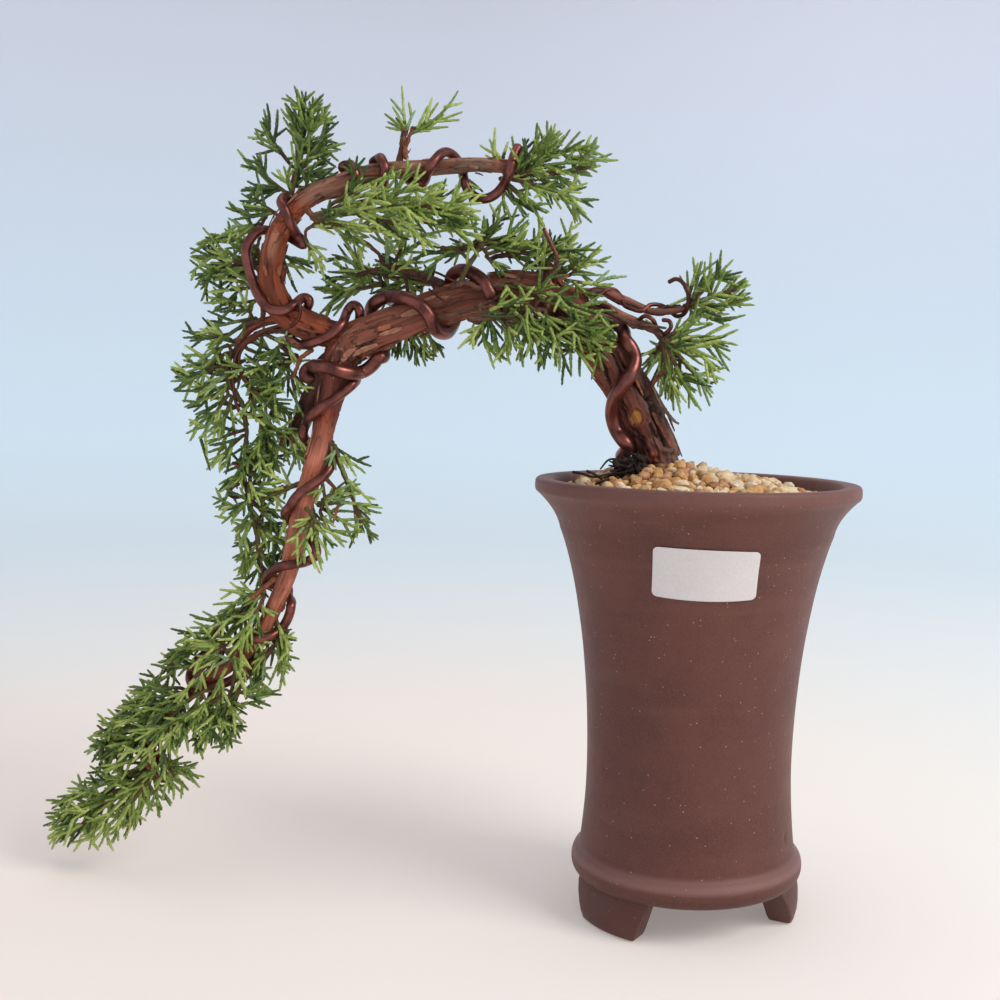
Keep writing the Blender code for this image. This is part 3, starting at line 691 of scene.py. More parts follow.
STONE_TONES = (
    ("stone_ochre", srgb(230, 180, 122), srgb(190, 138, 84)),
    ("stone_tan", srgb(224, 186, 136), srgb(186, 144, 98)),
    ("stone_cream", srgb(248, 226, 188), srgb(228, 196, 150)),
    ("stone_rose", srgb(214, 164, 122), srgb(172, 118, 82)),
    ("stone_grey", srgb(240, 222, 192), srgb(212, 188, 150)),
    ("stone_brown", srgb(166, 116, 72), srgb(112, 74, 46)),
)


def icosphere(level):
    bm = bmesh.new()
    bmesh.ops.create_icosphere(bm, subdivisions=level, radius=1.0)
    v = np.array([q.co for q in bm.verts])
    f = np.array([[q.index for q in face.verts] for face in bm.faces])
    bm.free()
    return v, f


def build_soil():
    earth = Shader("substrate_earth")
    co = earth.object_coords()
    a = earth.noise(co, 420.0, 4.0, 0.65)
    col = earth.ramp(a, (0.3, srgb(48, 34, 24)), (0.5, srgb(104, 78, 52)), (0.72, srgb(168, 134, 92)))
    earth = earth.finish(col, 0.95, earth.bump(a, 0.9, 0.0015), Specular_IOR_Level=0.2)
    # the bed: rings from the pot's floor up its wall and over the mound
    prof = [(0.0, 26.9), (36.6, 26.9)] + [(wall_radius(z) - 6.2 - 0.8, z) for z in (38.0, 70.0, 118.0, 150.0, 170.0, 184.0)]
    prof += [(wall_radius(187.0) - 7.2, 187.0)]
    sides = 120
    ang = 2 * np.pi * np.arange(sides) / sides
    verts, rows = [], []
    for r, z in prof[1:]:
        rows.append(np.stack([r * np.sin(ang), -r * np.cos(ang), np.full(sides, z)], -1))
    for r in np.linspace(63.9, 1.2, 58):
        x, y = r * np.sin(ang), -r * np.cos(ang)
        z = soil_height(x, y) - 2.6 + 0.9 * fbm(np.stack([x, y, 0 * x], -1) / 2.6, 4, 2)
        rows.append(np.stack([x, y, z], -1))
    v = np.concatenate(rows + [np.array([[0, 0, 26.9], [0, 0, soil_height(0, 0) - 2.6]])])
    idx = np.arange(len(rows) * sides).reshape(len(rows), sides)
    quads = np.stack([idx[:-1], np.roll(idx[:-1], -1, 1), np.roll(idx[1:], -1, 1), idx[1:]], -1).reshape(-1, 4)
    low, top = len(rows) * sides, len(rows) * sides + 1
    fan0 = np.stack([np.full(sides, low), np.roll(idx[0], -1), idx[0]], -1)
    fan1 = np.stack([np.full(sides, top), idx[-1], np.roll(idx[-1], -1)], -1)
    keep(mesh_object("substrate_bed", v, [quads, fan0, fan1], [earth]), "substrate", "soil")

    rnd = random.Random(41)
    coarse = icosphere(2)
    stones = Heap()
    placed = []
    trunk_foot = np.array([-18.0, 0.0])

    def stone(x, y, z, size, shape, tone):
        v, f = shape
        scale = np.array([1.0, rnd.uniform(0.72, 0.95), rnd.uniform(0.62, 0.90)]) * size
        q = v.copy()
        for _ in range(11):
            n = unit(np.array([rnd.gauss(0, 1) for _ in range(3)]))
            k = rnd.uniform(0.60, 0.88)
            over = np.maximum(0.0, q @ n - k)
            q = q - n * over[:, None] * 0.97
        q = q * (1 + 0.07 * noise(q * 1.3 + rnd.uniform(0, 90), 31))[:, None] * scale * 1.10
        a, b = rnd.uniform(0, 6.28), rnd.uniform(-0.75, 0.75)
        rot = np.array(Matrix.Rotation(a, 3, "Z") @ Matrix.Rotation(b, 3, "X"))
        stones.add(q @ rot.T + np.array([x, y, z]), f, tone)

    for layer, (need, tries) in enumerate(((360, 9000), (360, 9000))):
        got = 0
        mine = []
        for _ in range(tries):
            if got >= need:
                break
            r = 60.6 * math.sqrt(rnd.random())
            a = rnd.uniform(0, 2 * math.pi)
            x, y = r * math.cos(a), r * math.sin(a)
            size = rnd.choice((2.1, 2.5, 2.9, 3.2, 3.6, 4.2)) * (1.0 if layer else 0.95)
            if r + size > 63.4 or math.hypot(x - trunk_foot[0], y - trunk_foot[1]) < 13.6 + size * 0.5:
                continue
            near = False
            for (px, py, ps) in mine:
                if (px - x) ** 2 + (py - y) ** 2 < ((ps + size) * (0.80 if layer else 0.76)) ** 2:
                    near = True
                    break
            if near:
                continue
            mine.append((x, y, size))
            tone = rnd.choices(range(6), weights=(26, 28, 16, 16, 8, 8) if x < 2 else ((16, 24, 32, 10, 16, 2) if x < 16 else (4, 16, 46, 4, 30, 0)))[0]
            z = float(soil_height(x, y)) + (-1.9 if layer == 0 else 0.45) + rnd.uniform(-0.7, 0.9)
            stone(x, y, z, size, coarse, tone)
            got += 1
    mats = [stone_material(*t) for t in STONE_TONES]
    ob = stones.build("substrate_stones", mats)
    ob.data.set_sharp_from_angle(angle=math.radians(34))
    keep(ob, "substrate")
    print("stones", stones.tris)

    # the dark fibrous roots and broken twigs by the foot of the trunk
    dark = twig_material("root_dark", srgb(36, 26, 22), srgb(58, 42, 34), srgb(96, 74, 60))
    roots = Heap()
    rnd = random.Random(7)
    for k in range(210):
        px, py = rnd.gauss(634, 4.8), rnd.gauss(469, 5.6)
        y = rnd.uniform(-25, -8)
        a = spot(px, py, y)
        a[2] = max(a[2], 203.0)
        a[0] = max(a[0], -48.0)
        way = np.array([rnd.gauss(-0.4, 0.8), rnd.gauss(-0.2, 0.7), rnd.gauss(0.25, 0.45)])
        ln = rnd.uniform(2.5, 6.5)
        mid = a + way * ln * 0.5 + np.array([rnd.gauss(0, 1) for _ in range(3)]) * 1.3
        end = a + way * ln + np.array([0, 0, -rnd.uniform(0, 3)])
        path = smooth_path([a, mid, end], 1.0)
        path[:, 2] = np.maximum(path[:, 2], soil_height(path[:, 0], path[:, 1]) - 1.0)
        r0 = rnd.choice((0.25, 0.35, 0.5, 0.8))
        tube(roots, path, np.linspace(r0, r0 * 0.45, len(path)), 5)
    for k in range(70):
        c = spot(rnd.gauss(635, 7), rnd.gauss(470, 5), rnd.uniform(-25, -10))
        c[2] = max(c[2], float(soil_height(c[0], c[1])) + rnd.uniform(0.2, 2.4))
        v, f = coarse
        q = v * (1 + 0.35 * noise(v * 2.1 + k * 7.0, 3))[:, None] * rnd.uniform(0.9, 2.2)
        roots.add(q + c, f)
    for pts in (((573, 472), (583, 474), (594, 477), (608, 474), (622, 470)), ((587, 471), (596, 475), (602, 480), (609, 486)), ((612, 474), (603, 478), (596, 477)),
                ((640, 462), (631, 457), (626, 452), (623, 450)), ((636, 463), (628, 462), (622, 458)), ((632, 458), (626, 466), (618, 470)), ((596, 484), (606, 480), (618, 478))):
        path = []
        for k, (px, py) in enumerate(pts):
            p = spot(px, py, -34.0 if px < 610 and py > 465 else -10.0)
            path.append(p)
        path = smooth_path(path, 1.0)
        path[:, 2] = np.maximum(path[:, 2], soil_height(path[:, 0], path[:, 1]) + 1.6)
        tube(roots, path, np.linspace(0.7, 0.3, len(path)) if path[0][2] < 207 else 0.28, 6)
    keep(roots.build("foot_roots", [dark]), "bark")


# ================================================================ lines of the limbs (numbers as in part.py)
TRUNK_LINE = (
    (-18, 0, 206, 12.8), (-22, -1, 219, 11.4), (-31, -3, 238, 10.2), (-42, -4, 255, 9.6),
    (-56, -1, 274, 8.9), (-67, 1, 282, 8.6), (-80, 3, 286, 8.4), (-95, 4, 286.5, 8.3),
    (-123, 3, 278, 8.6), (-150, 0, 267, 8.6), (-163, -1, 260.5, 8.3), (-169.5, -1, 251, 7.6),
    (-173.5, 0, 236, 6.4), (-177.5, -2, 214, 5.4), (-180, -3, 203, 5.2), (-185, -4, 184, 5.0),
    (-190, -3, 160, 4.7), (-195, -2, 145, 4.5), (-206, 0, 121.5, 4.1), (-217, 1, 109, 3.8),
    (-239, 3, 92, 3.3), (-253, 4, 78, 2.8), (-261, 4, 64, 2.3), (-263, 4, 54, 2.0))
UPPER_LINE = (
    (-162, -1, 261, 7.0), (-179, -2, 266, 6.3), (-189, -4, 270.5, 6.1), (-196, -6, 276.5, 5.8),
    (-199.5, -8, 287, 5.6), (-199, -9, 298, 5.3), (-196, -10, 309, 5.1), (-191, -11, 317.5, 4.8),
    (-184, -11, 324, 4.3), (-174, -11, 330, 3.9), (-160, -10, 335.5, 3.8), (-146, -8, 339, 3.7),
    (-111, -4, 342.5, 3.4), (-95, -3, 342.5, 3.0), (-85, -2, 342, 2.3))
SIDE_LIMBS = (
    ("branch_right_upper", ((-60, 1, 283, 2.6), (-48, 2, 287, 2.2), (-36, 2, 283, 2.1),
                            (-22, 0, 278, 1.8), (-8, 0, 280, 1.5))),
    ("branch_right_lower", ((-52, -2, 276, 2.6), (-47, -5, 280, 2.3), (-37, -7, 275.5, 2.1),
                            (-25, -8, 271, 1.8), (-17, -8, 267, 1.5))),
    ("branch_left_hanging", ((-190, -2, 272, 2.6), (-208, 4, 269.5, 2.1), (-218, 6, 263, 1.9),
                             (-223, 7, 252, 1.8))),
    ("branch_rear", ((-121, 4, 280, 2.8), (-127, 10, 290, 2.4), (-137, 15, 294, 2.3))),
    ("sprig_stem", ((-141, -7, 340, 1.8), (-140, -7, 349, 1.3), (-138, -8, 355, 1.2))),
    ("branch_second_stem", ((-173, 2, 240, 3.6), (-184, 8, 234, 3.0), (-194, 9, 224, 2.7),
                            (-197, 9, 213, 2.3))),
)


class Line:
    """A smooth line through (x, y, z, radius) points; u counts along the points."""

    def __init__(self, points):
        self.p = np.asarray(points, float)
        self.last = len(self.p) - 1
        us = np.linspace(0, self.last, self.last * 40 + 1)
        q = self.at(us)
        self.us = us
        self.len = np.concatenate([[0], np.cumsum(np.linalg.norm(np.diff(q[:, :3], axis=0), axis=1))])
        self.fine = q
        self.seen = seen_at(q[:, :3])

    def at(self, u):
        u = np.clip(np.atleast_1d(np.asarray(u, float)), 0, self.last)
        i = np.minimum(u.astype(int), self.last - 1)
        t = (u - i)[:, None]
        a = self.p[np.maximum(i - 1, 0)]
        b, c = self.p[i], self.p[i + 1]
        d = self.p[np.minimum(i + 2, self.last)]
        m0, m1 = (c - a) * 0.5, (d - b) * 0.5
        return ((2 * t ** 3 - 3 * t ** 2 + 1) * b + (t ** 3 - 2 * t ** 2 + t) * m0
                + (-2 * t ** 3 + 3 * t ** 2) * c + (t ** 3 - t ** 2) * m1)

    def frame(self, u):
        a = self.at(np.asarray(u) - 0.05)[:, :3]
        b = self.at(np.asarray(u) + 0.05)[:, :3]
        t = b - a
        t /= np.linalg.norm(t, axis=1)[:, None]
        front = np.array([0.0, -1.0, 0.0])
        e1 = front - t * (t @ front)[:, None]
        e1 /= np.linalg.norm(e1, axis=1)[:, None]
        return t, e1, np.cross(t, e1)

    def nearest_px(self, px, py):
        d = np.hypot(self.seen[:, 0] - px, self.seen[:, 1] - py)
        return self.us[int(np.argmin(d))]


TRUNK, UPPER = Line(TRUNK_LINE), Line(UPPER_LINE)
SIDES = {name: Line(pts) for name, pts in SIDE_LIMBS}

BARK_RED = np.array(srgb(124, 58, 42))
BARK_ORANGE = np.array(srgb(178, 86, 48))
BARK_ROSE = np.array(srgb(170, 98, 74))
BARK_GREY = np.array(srgb(124, 96, 82))
BARK_DARK = np.array(srgb(46, 25, 20))
BARK_PALE = np.array(srgb(212, 168, 138))
BARK_SKIN = np.array(srgb(222, 140, 114))
SCAR_WOOD = np.array(srgb(186, 122, 58))


def blend_to(col, target, w):
    return col + (target - col) * np.clip(w, 0, 1)[..., None]


def limb_mesh(name, line, u0, u1, spacings, sides, kind, seed, foot=None, materials=()):
    """A limb with real relief: fibres, lifting plates, crevices, swellings and a round tip."""
    us, u = [u0], u0
    while u < u1:
        want = np.interp(u, spacings[0], spacings[1])
        s = np.interp(u, line.us, line.len) + want
        u = float(np.interp(s, line.len, line.us))
        if s >= line.len[-1]:
            break
        us.append(min(u, u1))
    us = np.array(us)
    q = line.at(us)
    t, e1, e2 = line.frame(us)
    s = np.interp(us, line.us, line.len)
    rings = len(us)
    a = 2 * np.pi * np.arange(sides) / sides
    A, S, U, R = (np.broadcast_to(x, (rings, sides)) for x in (a[None], s[:, None], us[:, None], q[:, 3][:, None]))
    X, Y = R * np.cos(A), R * np.sin(A)
    G = np.stack([X, Y, S], -1).reshape(-1, 3)
    A, S, U, R = A.ravel(), S.ravel(), U.ravel(), R.ravel()
    small = np.clip(R / 8.0, 0.35, 1.3)

    rough = np.full(len(A), 0.35)
    flaky = np.full(len(A), 0.35)
    tint = np.zeros(len(A))          # 0 red-brown, 1 orange
    rose = np.zeros(len(A))
    grey = np.zeros(len(A))
    dark = np.zeros(len(A))
    skin = np.zeros(len(A))
    fade = np.zeros(len(A))
    right = np.sin(A)                # towards +x on a limb that rises, up on one that runs to -x
    if kind == "trunk":
        low = 1 - step(3.2, 5.0, U)
        rough = rough + low * (0.50 + 0.75 * step(-0.1, 0.75, right))
        grey = grey + low * (0.12 + 0.75 * step(0.0, 0.7, right))
        arch = step(4.0, 6.0, U) * (1 - step(10.0, 11.5, U))
        rose = rose + arch * 0.80
        dark = dark + arch * 0.04
        flaky = flaky + arch * 0.75
        fork = step(8.8, 9.8, U) * (1 - step(11.6, 12.6, U))
        under = step(0.1, 0.8, -right)
        rough = rough + fork * under * 0.9
        dark = dark + fork * under * 0.75
        after = step(11.3, 12.4, U) * (1 - step(12.6, 13.6, U))
        rough = rough + after * step(-0.2, 0.6, right) * 0.9
        dark = dark + after * step(-0.2, 0.6, right) * 0.6
        grey = grey + arch * 0.05
        casc = step(12.3, 13.4, U)
        tint = tint + casc * 0.85
        skin = skin + casc * (0.66 - 0.40 * step(16.0, 19.0, U))
        flaky = flaky - casc * 0.12
        rough = rough - casc * 0.20
    elif kind == "upper":
        tint = tint + 0.75
        flaky = flaky + 0.6
        rough = rough + 0.35 * (1 - step(1.0, 3.5, U)) + 0.15
        dark = dark + 0.5 * (1 - step(0.8, 2.4, U)) * step(-0.2, 0.6, -right)
        run = step(7.2, 8.8, U)
        tint = tint - 0.25 * run
        rose = rose + 0.35 * run
        grey = grey + 0.45 * run + 0.35 * step(11.2, 12.0, U) * (1 - step(12.3, 12.9, U))
        flaky = flaky + 0.35 * run
        fade = fade + 0.34 * run
        swell = step(0.5, 1.2, U) * (1 - step(3.2, 4.0, U))
        rough = rough + 0.25 * swell
        dark = dark + 0.30 * swell * step(0.0, 0.7, -right)
        R = R * (1 + 0.13 * swell)
    else:
        tint = tint + 0.15
        grey = grey + (0.60 if seed < 340 else 0.25)
        skin = skin + (0.45 if seed < 340 else 0.0)
        rough = rough + 0.4
        flaky = flaky + 0.3
        dark = dark + (0.75 if name == "branch_second_stem_bark" else 0.0)

    lump = 0.060 * R * fbm(G / (9.0, 9.0, 22.0) / small[:, None] ** 0.5, seed, 2)
    fibre = fbm(G / (1.7, 1.7, 22.0), seed + 3, 3)
    strand = noise(G / (3.2, 3.2, 44.0), seed + 8)
    plate_f = fbm(G / (5.6, 5.6, 27.0) / small[:, None] ** 0.5, seed + 11, 3, 0.55)
    plate = step(0.02, 0.09, plate_f)
    torn = step(0.05, 0.35, noise(G / (12.0, 12.0, 34.0), seed + 15))
    plate2 = step(0.12, 0.19, fbm(G / (3.4, 3.4, 17.0), seed + 19, 3)) * torn
    crev_f = np.abs(fbm(G / (5.0, 5.0, 26.0) / small[:, None] ** 0.5, seed + 27, 3))
    crevice = 1 - step(0.012, 0.075, crev_f)
    knots = step(0.52, 0.75, noise(G / (4.5, 4.5, 7.0), seed + 33))
    patch = noise(G / (7.5, 7.5, 30.0) / small[:, None] ** 0.5, seed + 37)
    size = np.clip(R / 8.5, 0.30, 1.25)
    chunk_f = fbm(G / (4.6, 4.6, 10.5), seed + 45, 3, 0.55)
    chunk = step(-0.02, 0.05, chunk_f)
    rugged = np.clip(rough - 0.55, 0, 1)
    relief = (lump + size * (0.16 * fibre + 0.12 * strand + 0.78 * flaky * (plate - 0.4) + 0.34 * flaky * plate2
                             - 1.45 * rough * crevice + 0.30 * knots * rough + 1.25 * rugged * (chunk - 0.5))
              + 0.05 * noise(G / 0.9, seed + 41) * size)

    col = np.broadcast_to(BARK_RED, (len(A), 3)).copy()
    col = blend_to(col, BARK_ORANGE, tint)
    col = blend_to(col, BARK_ROSE, rose)
    col = blend_to(col, BARK_SKIN, skin)
    col = blend_to(col, BARK_GREY, grey * (0.35 + 0.65 * np.maximum(plate, chunk)))
    col = blend_to(col, BARK_PALE * 0.82, fade * (0.4 + 0.6 * plate))
    col = blend_to(col, BARK_DARK, 0.34 * step(0.10, 0.55, -patch))
    col = blend_to(col, BARK_ORANGE, 0.50 * step(0.10, 0.55, patch) * (1 - grey * 0.8))
    streak = 0.5 + 0.5 * strand
    col = blend_to(col, BARK_DARK, 0.24 * step(0.45, 0.8, 1 - streak))
    edge = step(0.0, 0.035, plate_f) * (1 - step(0.045, 0.10, plate_f))
    col = blend_to(col, BARK_PALE, 0.74 * edge * torn * np.clip(flaky, 0, 1))
    col = blend_to(col, BARK_PALE, 0.46 * plate2 * np.clip(flaky - 0.25, 0, 1))
    col = blend_to(col, BARK_DARK, 0.45 * (1 - step(-0.06, 0.0, chunk_f)) * rugged)
    col = blend_to(col, BARK_DARK, 0.85 * crevice * np.clip(rough + 0.25, 0, 1))
    col = blend_to(col, BARK_DARK, dark * 0.75)
    col = col * (1 + 0.12 * fibre)[:, None]

    # swelling where the side limbs leave, and root lobes at the foot
    centre = np.repeat(q[:, :3], sides, 0)
    way = (e1[:, None, :] * np.cos(a)[None, :, None] + e2[:, None, :] * np.sin(a)[None, :, None]).reshape(-1, 3)
    lobes = 0.045 * np.sin(3 * A + 0.10 * S) + 0.03 * np.sin(2 * A - 0.07 * S)
    rad = R * (1 + lobes) * (0.98 if kind != "trunk" else 1.0 - 0.10 * step(12.0, 13.0, U) - 0.10 * (1 - step(0.8, 2.2, U)) - 0.07 * (1 - step(3.0, 4.5, U)) * step(0.0, 0.7, right)) + relief
    if foot is not None:
        rise = np.clip(1 - (centre[:, 2] - foot) / 24.0, 0, 1)
        rad = rad * (1 + 0.07 * rise ** 2 * (0.45 + 0.55 * np.sin(5 * A + 0.6)))
    P = centre + way * rad[:, None]
    if kind == "trunk":
        # the deep crack between the red and the grey bark, and the torn ledges beside it
        s2 = seen_at(P)
        facing = np.clip(-way[:, 1] * 2.0, 0, 1)
        for points, width, depth in ((((628, 372), (636, 386), (644, 395), (650, 406), (655, 420), (660, 434), (664, 446)), 2.3, 2.0),
                                     (((642, 372), (650, 382), (660, 394), (668, 408)), 1.6, 1.2),
                                     (((622, 402), (627, 420), (634, 436), (646, 446)), 1.5, 0.9),
                                     (((652, 372), (664, 388), (672, 402), (676, 418)), 1.5, 1.0),
                                     (((650, 424), (656, 436), (668, 448)), 1.4, 1.0),
                                     (((594, 352), (604, 362), (606, 376), (612, 388)), 1.7, 1.1)):
            way_px = np.array(points, float)
            dist = np.full(len(P), 1e9)
            for p0, p1 in zip(way_px[:-1], way_px[1:]):
                seg = p1 - p0
                f = np.clip(((s2 - p0) @ seg) / (seg @ seg), 0, 1)
                dist = np.minimum(dist, np.linalg.norm(s2 - p0 - f[:, None] * seg, axis=1))
            dist = dist + 1.6 * noise(G / (2.2, 2.2, 3.4), seed + 61)
            cut = (1 - step(width * 0.35, width * 1.25, dist)) * facing * (U < 5.0)
            shelf = step(width * 0.9, width * 1.5, dist) * (1 - step(width * 2.2, width * 4.0, dist)) * facing * (U < 5.0)
            P = P + way * (0.55 * shelf - depth * cut)[:, None]
            col = blend_to(col, BARK_DARK * 0.75, 0.92 * cut)
        # the oval pruning scar on the front of the lower trunk, and the knob below it
        c = spot(637, 417, -13.0)
        d = np.stack([(P[:, 0] - c[0]) * 0.97 + (P[:, 2] - c[2]) * 0.25, -(P[:, 0] - c[0]) * 0.25 + (P[:, 2] - c[2]) * 0.97], 1)
        near = np.sqrt((d[:, 0] / 2.75) ** 2 + (d[:, 1] / 3.7) ** 2)
        face = P[:, 1] < c[1] + 8
        inside = (1 - step(0.82, 0.98, near)) * face
        lip = step(0.86, 1.05, near) * (1 - step(1.15, 1.75, near)) * face
        P = P + way * (0.9 * lip - 0.15 * inside)[:, None] - way * (relief * 0.75 * np.clip(inside + lip, 0, 1))[:, None]
        ring = 0.5 + 0.5 * np.sin(near * 15.0)
        col = blend_to(col, SCAR_WOOD * (0.86 + 0.22 * ring)[:, None], inside)
        col = blend_to(col, BARK_DARK, 0.75 * (1 - step(0.05, 0.12, np.abs(near - 0.95))) * face)
        col = blend_to(col, BARK_RED, 0.6 * lip)
        c = spot(652, 457, -15.0)
        near = np.linalg.norm((P - c) / (3.6, 9.0, 3.4), axis=1)
        bulge = (1 - step(0.3, 1.2, near)) * (P[:, 1] < 0)
        P = P + way * (1.1 * bulge)[:, None]
        col = blend_to(col, BARK_ORANGE * 1.05, 0.7 * bulge)
    if foot is not None:
        P[:, 2] = np.where(U < 2.0, np.maximum(P[:, 2], foot - 3.0), P[:, 2])
    # ends
    head = q[0, :3] - t[0] * 0.5
    tail = q[-1, :3] + t[-1] * q[-1, 3] * 0.8
    P3 = P.reshape(rings, sides, 3)
    for back, share in ((1, 0.45), (2, 0.78), (3, 0.93)):
        P3[-back] = q[-back, :3] + (P3[-back] - q[-back, :3]) * share
    P = np.concatenate([P3.reshape(-1, 3), [head], [tail]])
    col = np.concatenate([col, col[:1], col[-1:]])
    col = np.concatenate([np.clip(col, 0.002, 1), np.ones((len(col), 1))], 1)
    G = np.concatenate([G, G[:1], G[-1:]])
    idx = np.arange(rings * sides).reshape(rings, sides)
    quads = np.stack([idx[:-1], np.roll(idx[:-1], -1, 1), np.roll(idx[1:], -1, 1), idx[1:]], -1).reshape(-1, 4)
    f0 = np.stack([np.full(sides, rings * sides), np.roll(idx[0], -1), idx[0]], -1)
    f1 = np.stack([np.full(sides, rings * sides + 1), idx[-1], np.roll(idx[-1], -1)], -1)
    print(name, "triangles", 2 * len(quads))
    return mesh_object(name, P, [quads, f0, f1], list(materials),
                       points={"bark": ("FLOAT_COLOR", col), "grain": ("FLOAT_VECTOR", G)})


def build_bark():
    bark = bark_material("bark_fibrous")
    ob = limb_mesh("trunk_bark", TRUNK, 0.0, 23.0, ([0, 4.5, 5.0, 12, 12.5, 23], [0.62, 0.62, 0.75, 0.75, 1.05, 1.05]),
                   120, "trunk", 100, foot=206.0, materials=[bark])
    keep(ob, "bark", "trunk_lower", "trunk_arch", "trunk_fork", "cascade_bough_upper", "cascade_bough_middle", "cascade_bough_tip")
    ob = limb_mesh("upper_bough_bark", UPPER, 0.0, 14.0, ([0, 14], [0.75, 0.75]), 88, "upper", 200, materials=[bark])
    keep(ob, "bark", "upper_bough_rise", "upper_bough_run")
    for k, (name, line) in enumerate(SIDES.items()):
        if name == "branch_second_stem":
            line = Line([(-168, 1, 256, 4.5), (-176, 3, 250, 5.8), (-180, 4, 241, 5.6), (-186, 6, 232, 4.5),
                         (-191, 8, 223, 3.5), (-195, 9, 216, 2.8), (-197, 9, 211, 2.2)])
        ob = limb_mesh(name + "_bark", line, 0.0, float(line.last), ([0, 9], [0.7, 0.7]), 36, "side", 300 + 20 * k, materials=[bark])
        keep(ob, "bark", name)


# ================================================================ wood: twigs that carry the foliage
WOOD = []                       # (x, y, z, radius) of everything a twig may grow from
TWIGS = Heap()


def note_wood(path, radii):
    radii = np.broadcast_to(radii, (len(path),))
    for p, r in zip(path, radii):
        WOOD.append((p[0], p[1], p[2], r))


def seed_wood():
    for line in (TRUNK, UPPER, *SIDES.values()):
        n = int(line.len[-1] / 1.5) + 2
        u = np.interp(np.linspace(0, line.len[-1], n), line.len, line.us)
        if line is TRUNK:
            u = u[u > 3.6]
        q = line.at(u)
        note_wood(q[:, :3], q[:, 3])


def twig(points, r0, r1, rnd=None, mat=0, sides=7, spacing=1.4, knobs=0.12, note=True):
    path = smooth_path(points, spacing)
    radii = np.linspace(r0, r1, len(path))
    if rnd is not None and knobs:
        radii = radii * (1 + knobs * np.array([rnd.uniform(-1, 1) for _ in path]))
        path[1:-1] += np.array([[rnd.gauss(0, 0.14) for _ in range(3)] for _ in path[1:-1]])
    tube(TWIGS, path, radii, sides, mat)
    if note:
        note_wood(path, radii)
    return path


def connect(p, rnd, r=0.9, lead=None):
    """A twig from the nearest limb or twig to p, if p doesn't already sit on one."""
    w = np.array(WOOD)
    d = np.linalg.norm(w[:, :3] - p, axis=1)
    gap = d - w[:, 3]
    i = int(np.argmin(gap))
    if gap[i] < 0.6:
        return
    a = w[i, :3]
    bow = np.array([rnd.gauss(0, 1) for _ in range(3)]) * d[i] * 0.07
    if lead is not None:
        bow = bow - lead * d[i] * 0.12
    r0 = min(r * 1.25, max(r, w[i, 3] * 0.8))
    twig([a, (a + p) / 2 + bow, p], r0, r, rnd, mat=rnd.choice((0, 0, 1)))


# ================================================================ foliage
PITCH = 1.75                    # length of one pair of scale leaves
SHOOT_SIDES = 5
LEAF_TONES = (
    # base, shade, painted glint (light flecks that stand in for highlights on the scales)
    ("leaf_deep", srgb(76, 98, 38), srgb(52, 72, 27), srgb(106, 126, 58)),
    ("leaf_dark", srgb(116, 138, 58), srgb(86, 106, 40), srgb(148, 168, 88)),
    ("leaf_mid", srgb(152, 170, 78), srgb(118, 138, 56), srgb(186, 202, 118)),
    ("leaf_light", srgb(180, 194, 104), srgb(146, 164, 76), srgb(208, 220, 146)),
    ("leaf_yellow", srgb(188, 200, 108), srgb(158, 172, 82), srgb(214, 222, 150)),
    ("leaf_soft", srgb(150, 174, 116), srgb(116, 142, 84), srgb(186, 206, 156)),
)
PALETTES = {
    "black": (52, 34, 10, 2, 0, 2), "dark": (34, 40, 20, 3, 0, 3), "mid": (16, 30, 34, 14, 2, 4), "fresh": (4, 18, 40, 28, 6, 4),
    "bright": (4, 14, 32, 34, 14, 2), "soft": (4, 16, 36, 24, 4, 16),
}


def shoot(heap, a, c, b, r0, r1, tone, turn=0.0):
    """One cord of scale leaves along a bowed line, a little knobbly, with a blunt tip."""
    length = np.linalg.norm(c - a) + np.linalg.norm(b - c)
    nodes = max(2, int(round(length / PITCH)))
    k = np.arange(nodes)
    t = np.stack([(k + 0.16) / nodes, (k + 0.84) / nodes], 1).ravel()
    t = np.concatenate([t, [1.0]])
    big = np.tile([0.88, 1.08], nodes)
    big = np.concatenate([big, [0.62]])
    phase = np.concatenate([np.repeat((k % 2) * math.pi / SHOOT_SIDES, 2), [0.0]]) + turn
    T = t[:, None]
    p = a * (1 - T) ** 2 + c * 2 * T * (1 - T) + b * T ** 2
    d = (c - a) * 2 * (1 - T) + (b - c) * 2 * T
    d /= np.linalg.norm(d, axis=1)[:, None] + 1e-9
    ref = np.array([0.31, -0.85, 0.42])
    e1 = ref - d * (d @ ref)[:, None]
    e1 /= np.linalg.norm(e1, axis=1)[:, None] + 1e-9
    e2 = np.cross(d, e1)
    r = (r0 + (r1 - r0) * t ** 1.5) * big
    ang = phase[:, None] + 2 * np.pi * np.arange(SHOOT_SIDES)[None] / SHOOT_SIDES
    ring = p[:, None, :] + r[:, None, None] * (e1[:, None, :] * np.cos(ang)[..., None] + e2[:, None, :] * np.sin(ang)[..., None])
    ends = np.stack([a, b + d[-1] * r1 * 1.5])
    heap.add(np.concatenate([ring.reshape(-1, 3), ends]), tube_faces(len(t), SHOOT_SIDES), tone)


def vary(tone, rnd, up=0.25, down=0.2):
    """The tone of a neighbouring shoot: usually the spray's own, now and then one lighter or darker."""
    q = rnd.random()
    if tone == 5:
        return 2 if q < up else (1 if q > 1 - down else 5)
    if q < up:
        return min(tone + 1, 4)
    if q > 1 - down:
        return max(tone - 1, 0)
    return tone


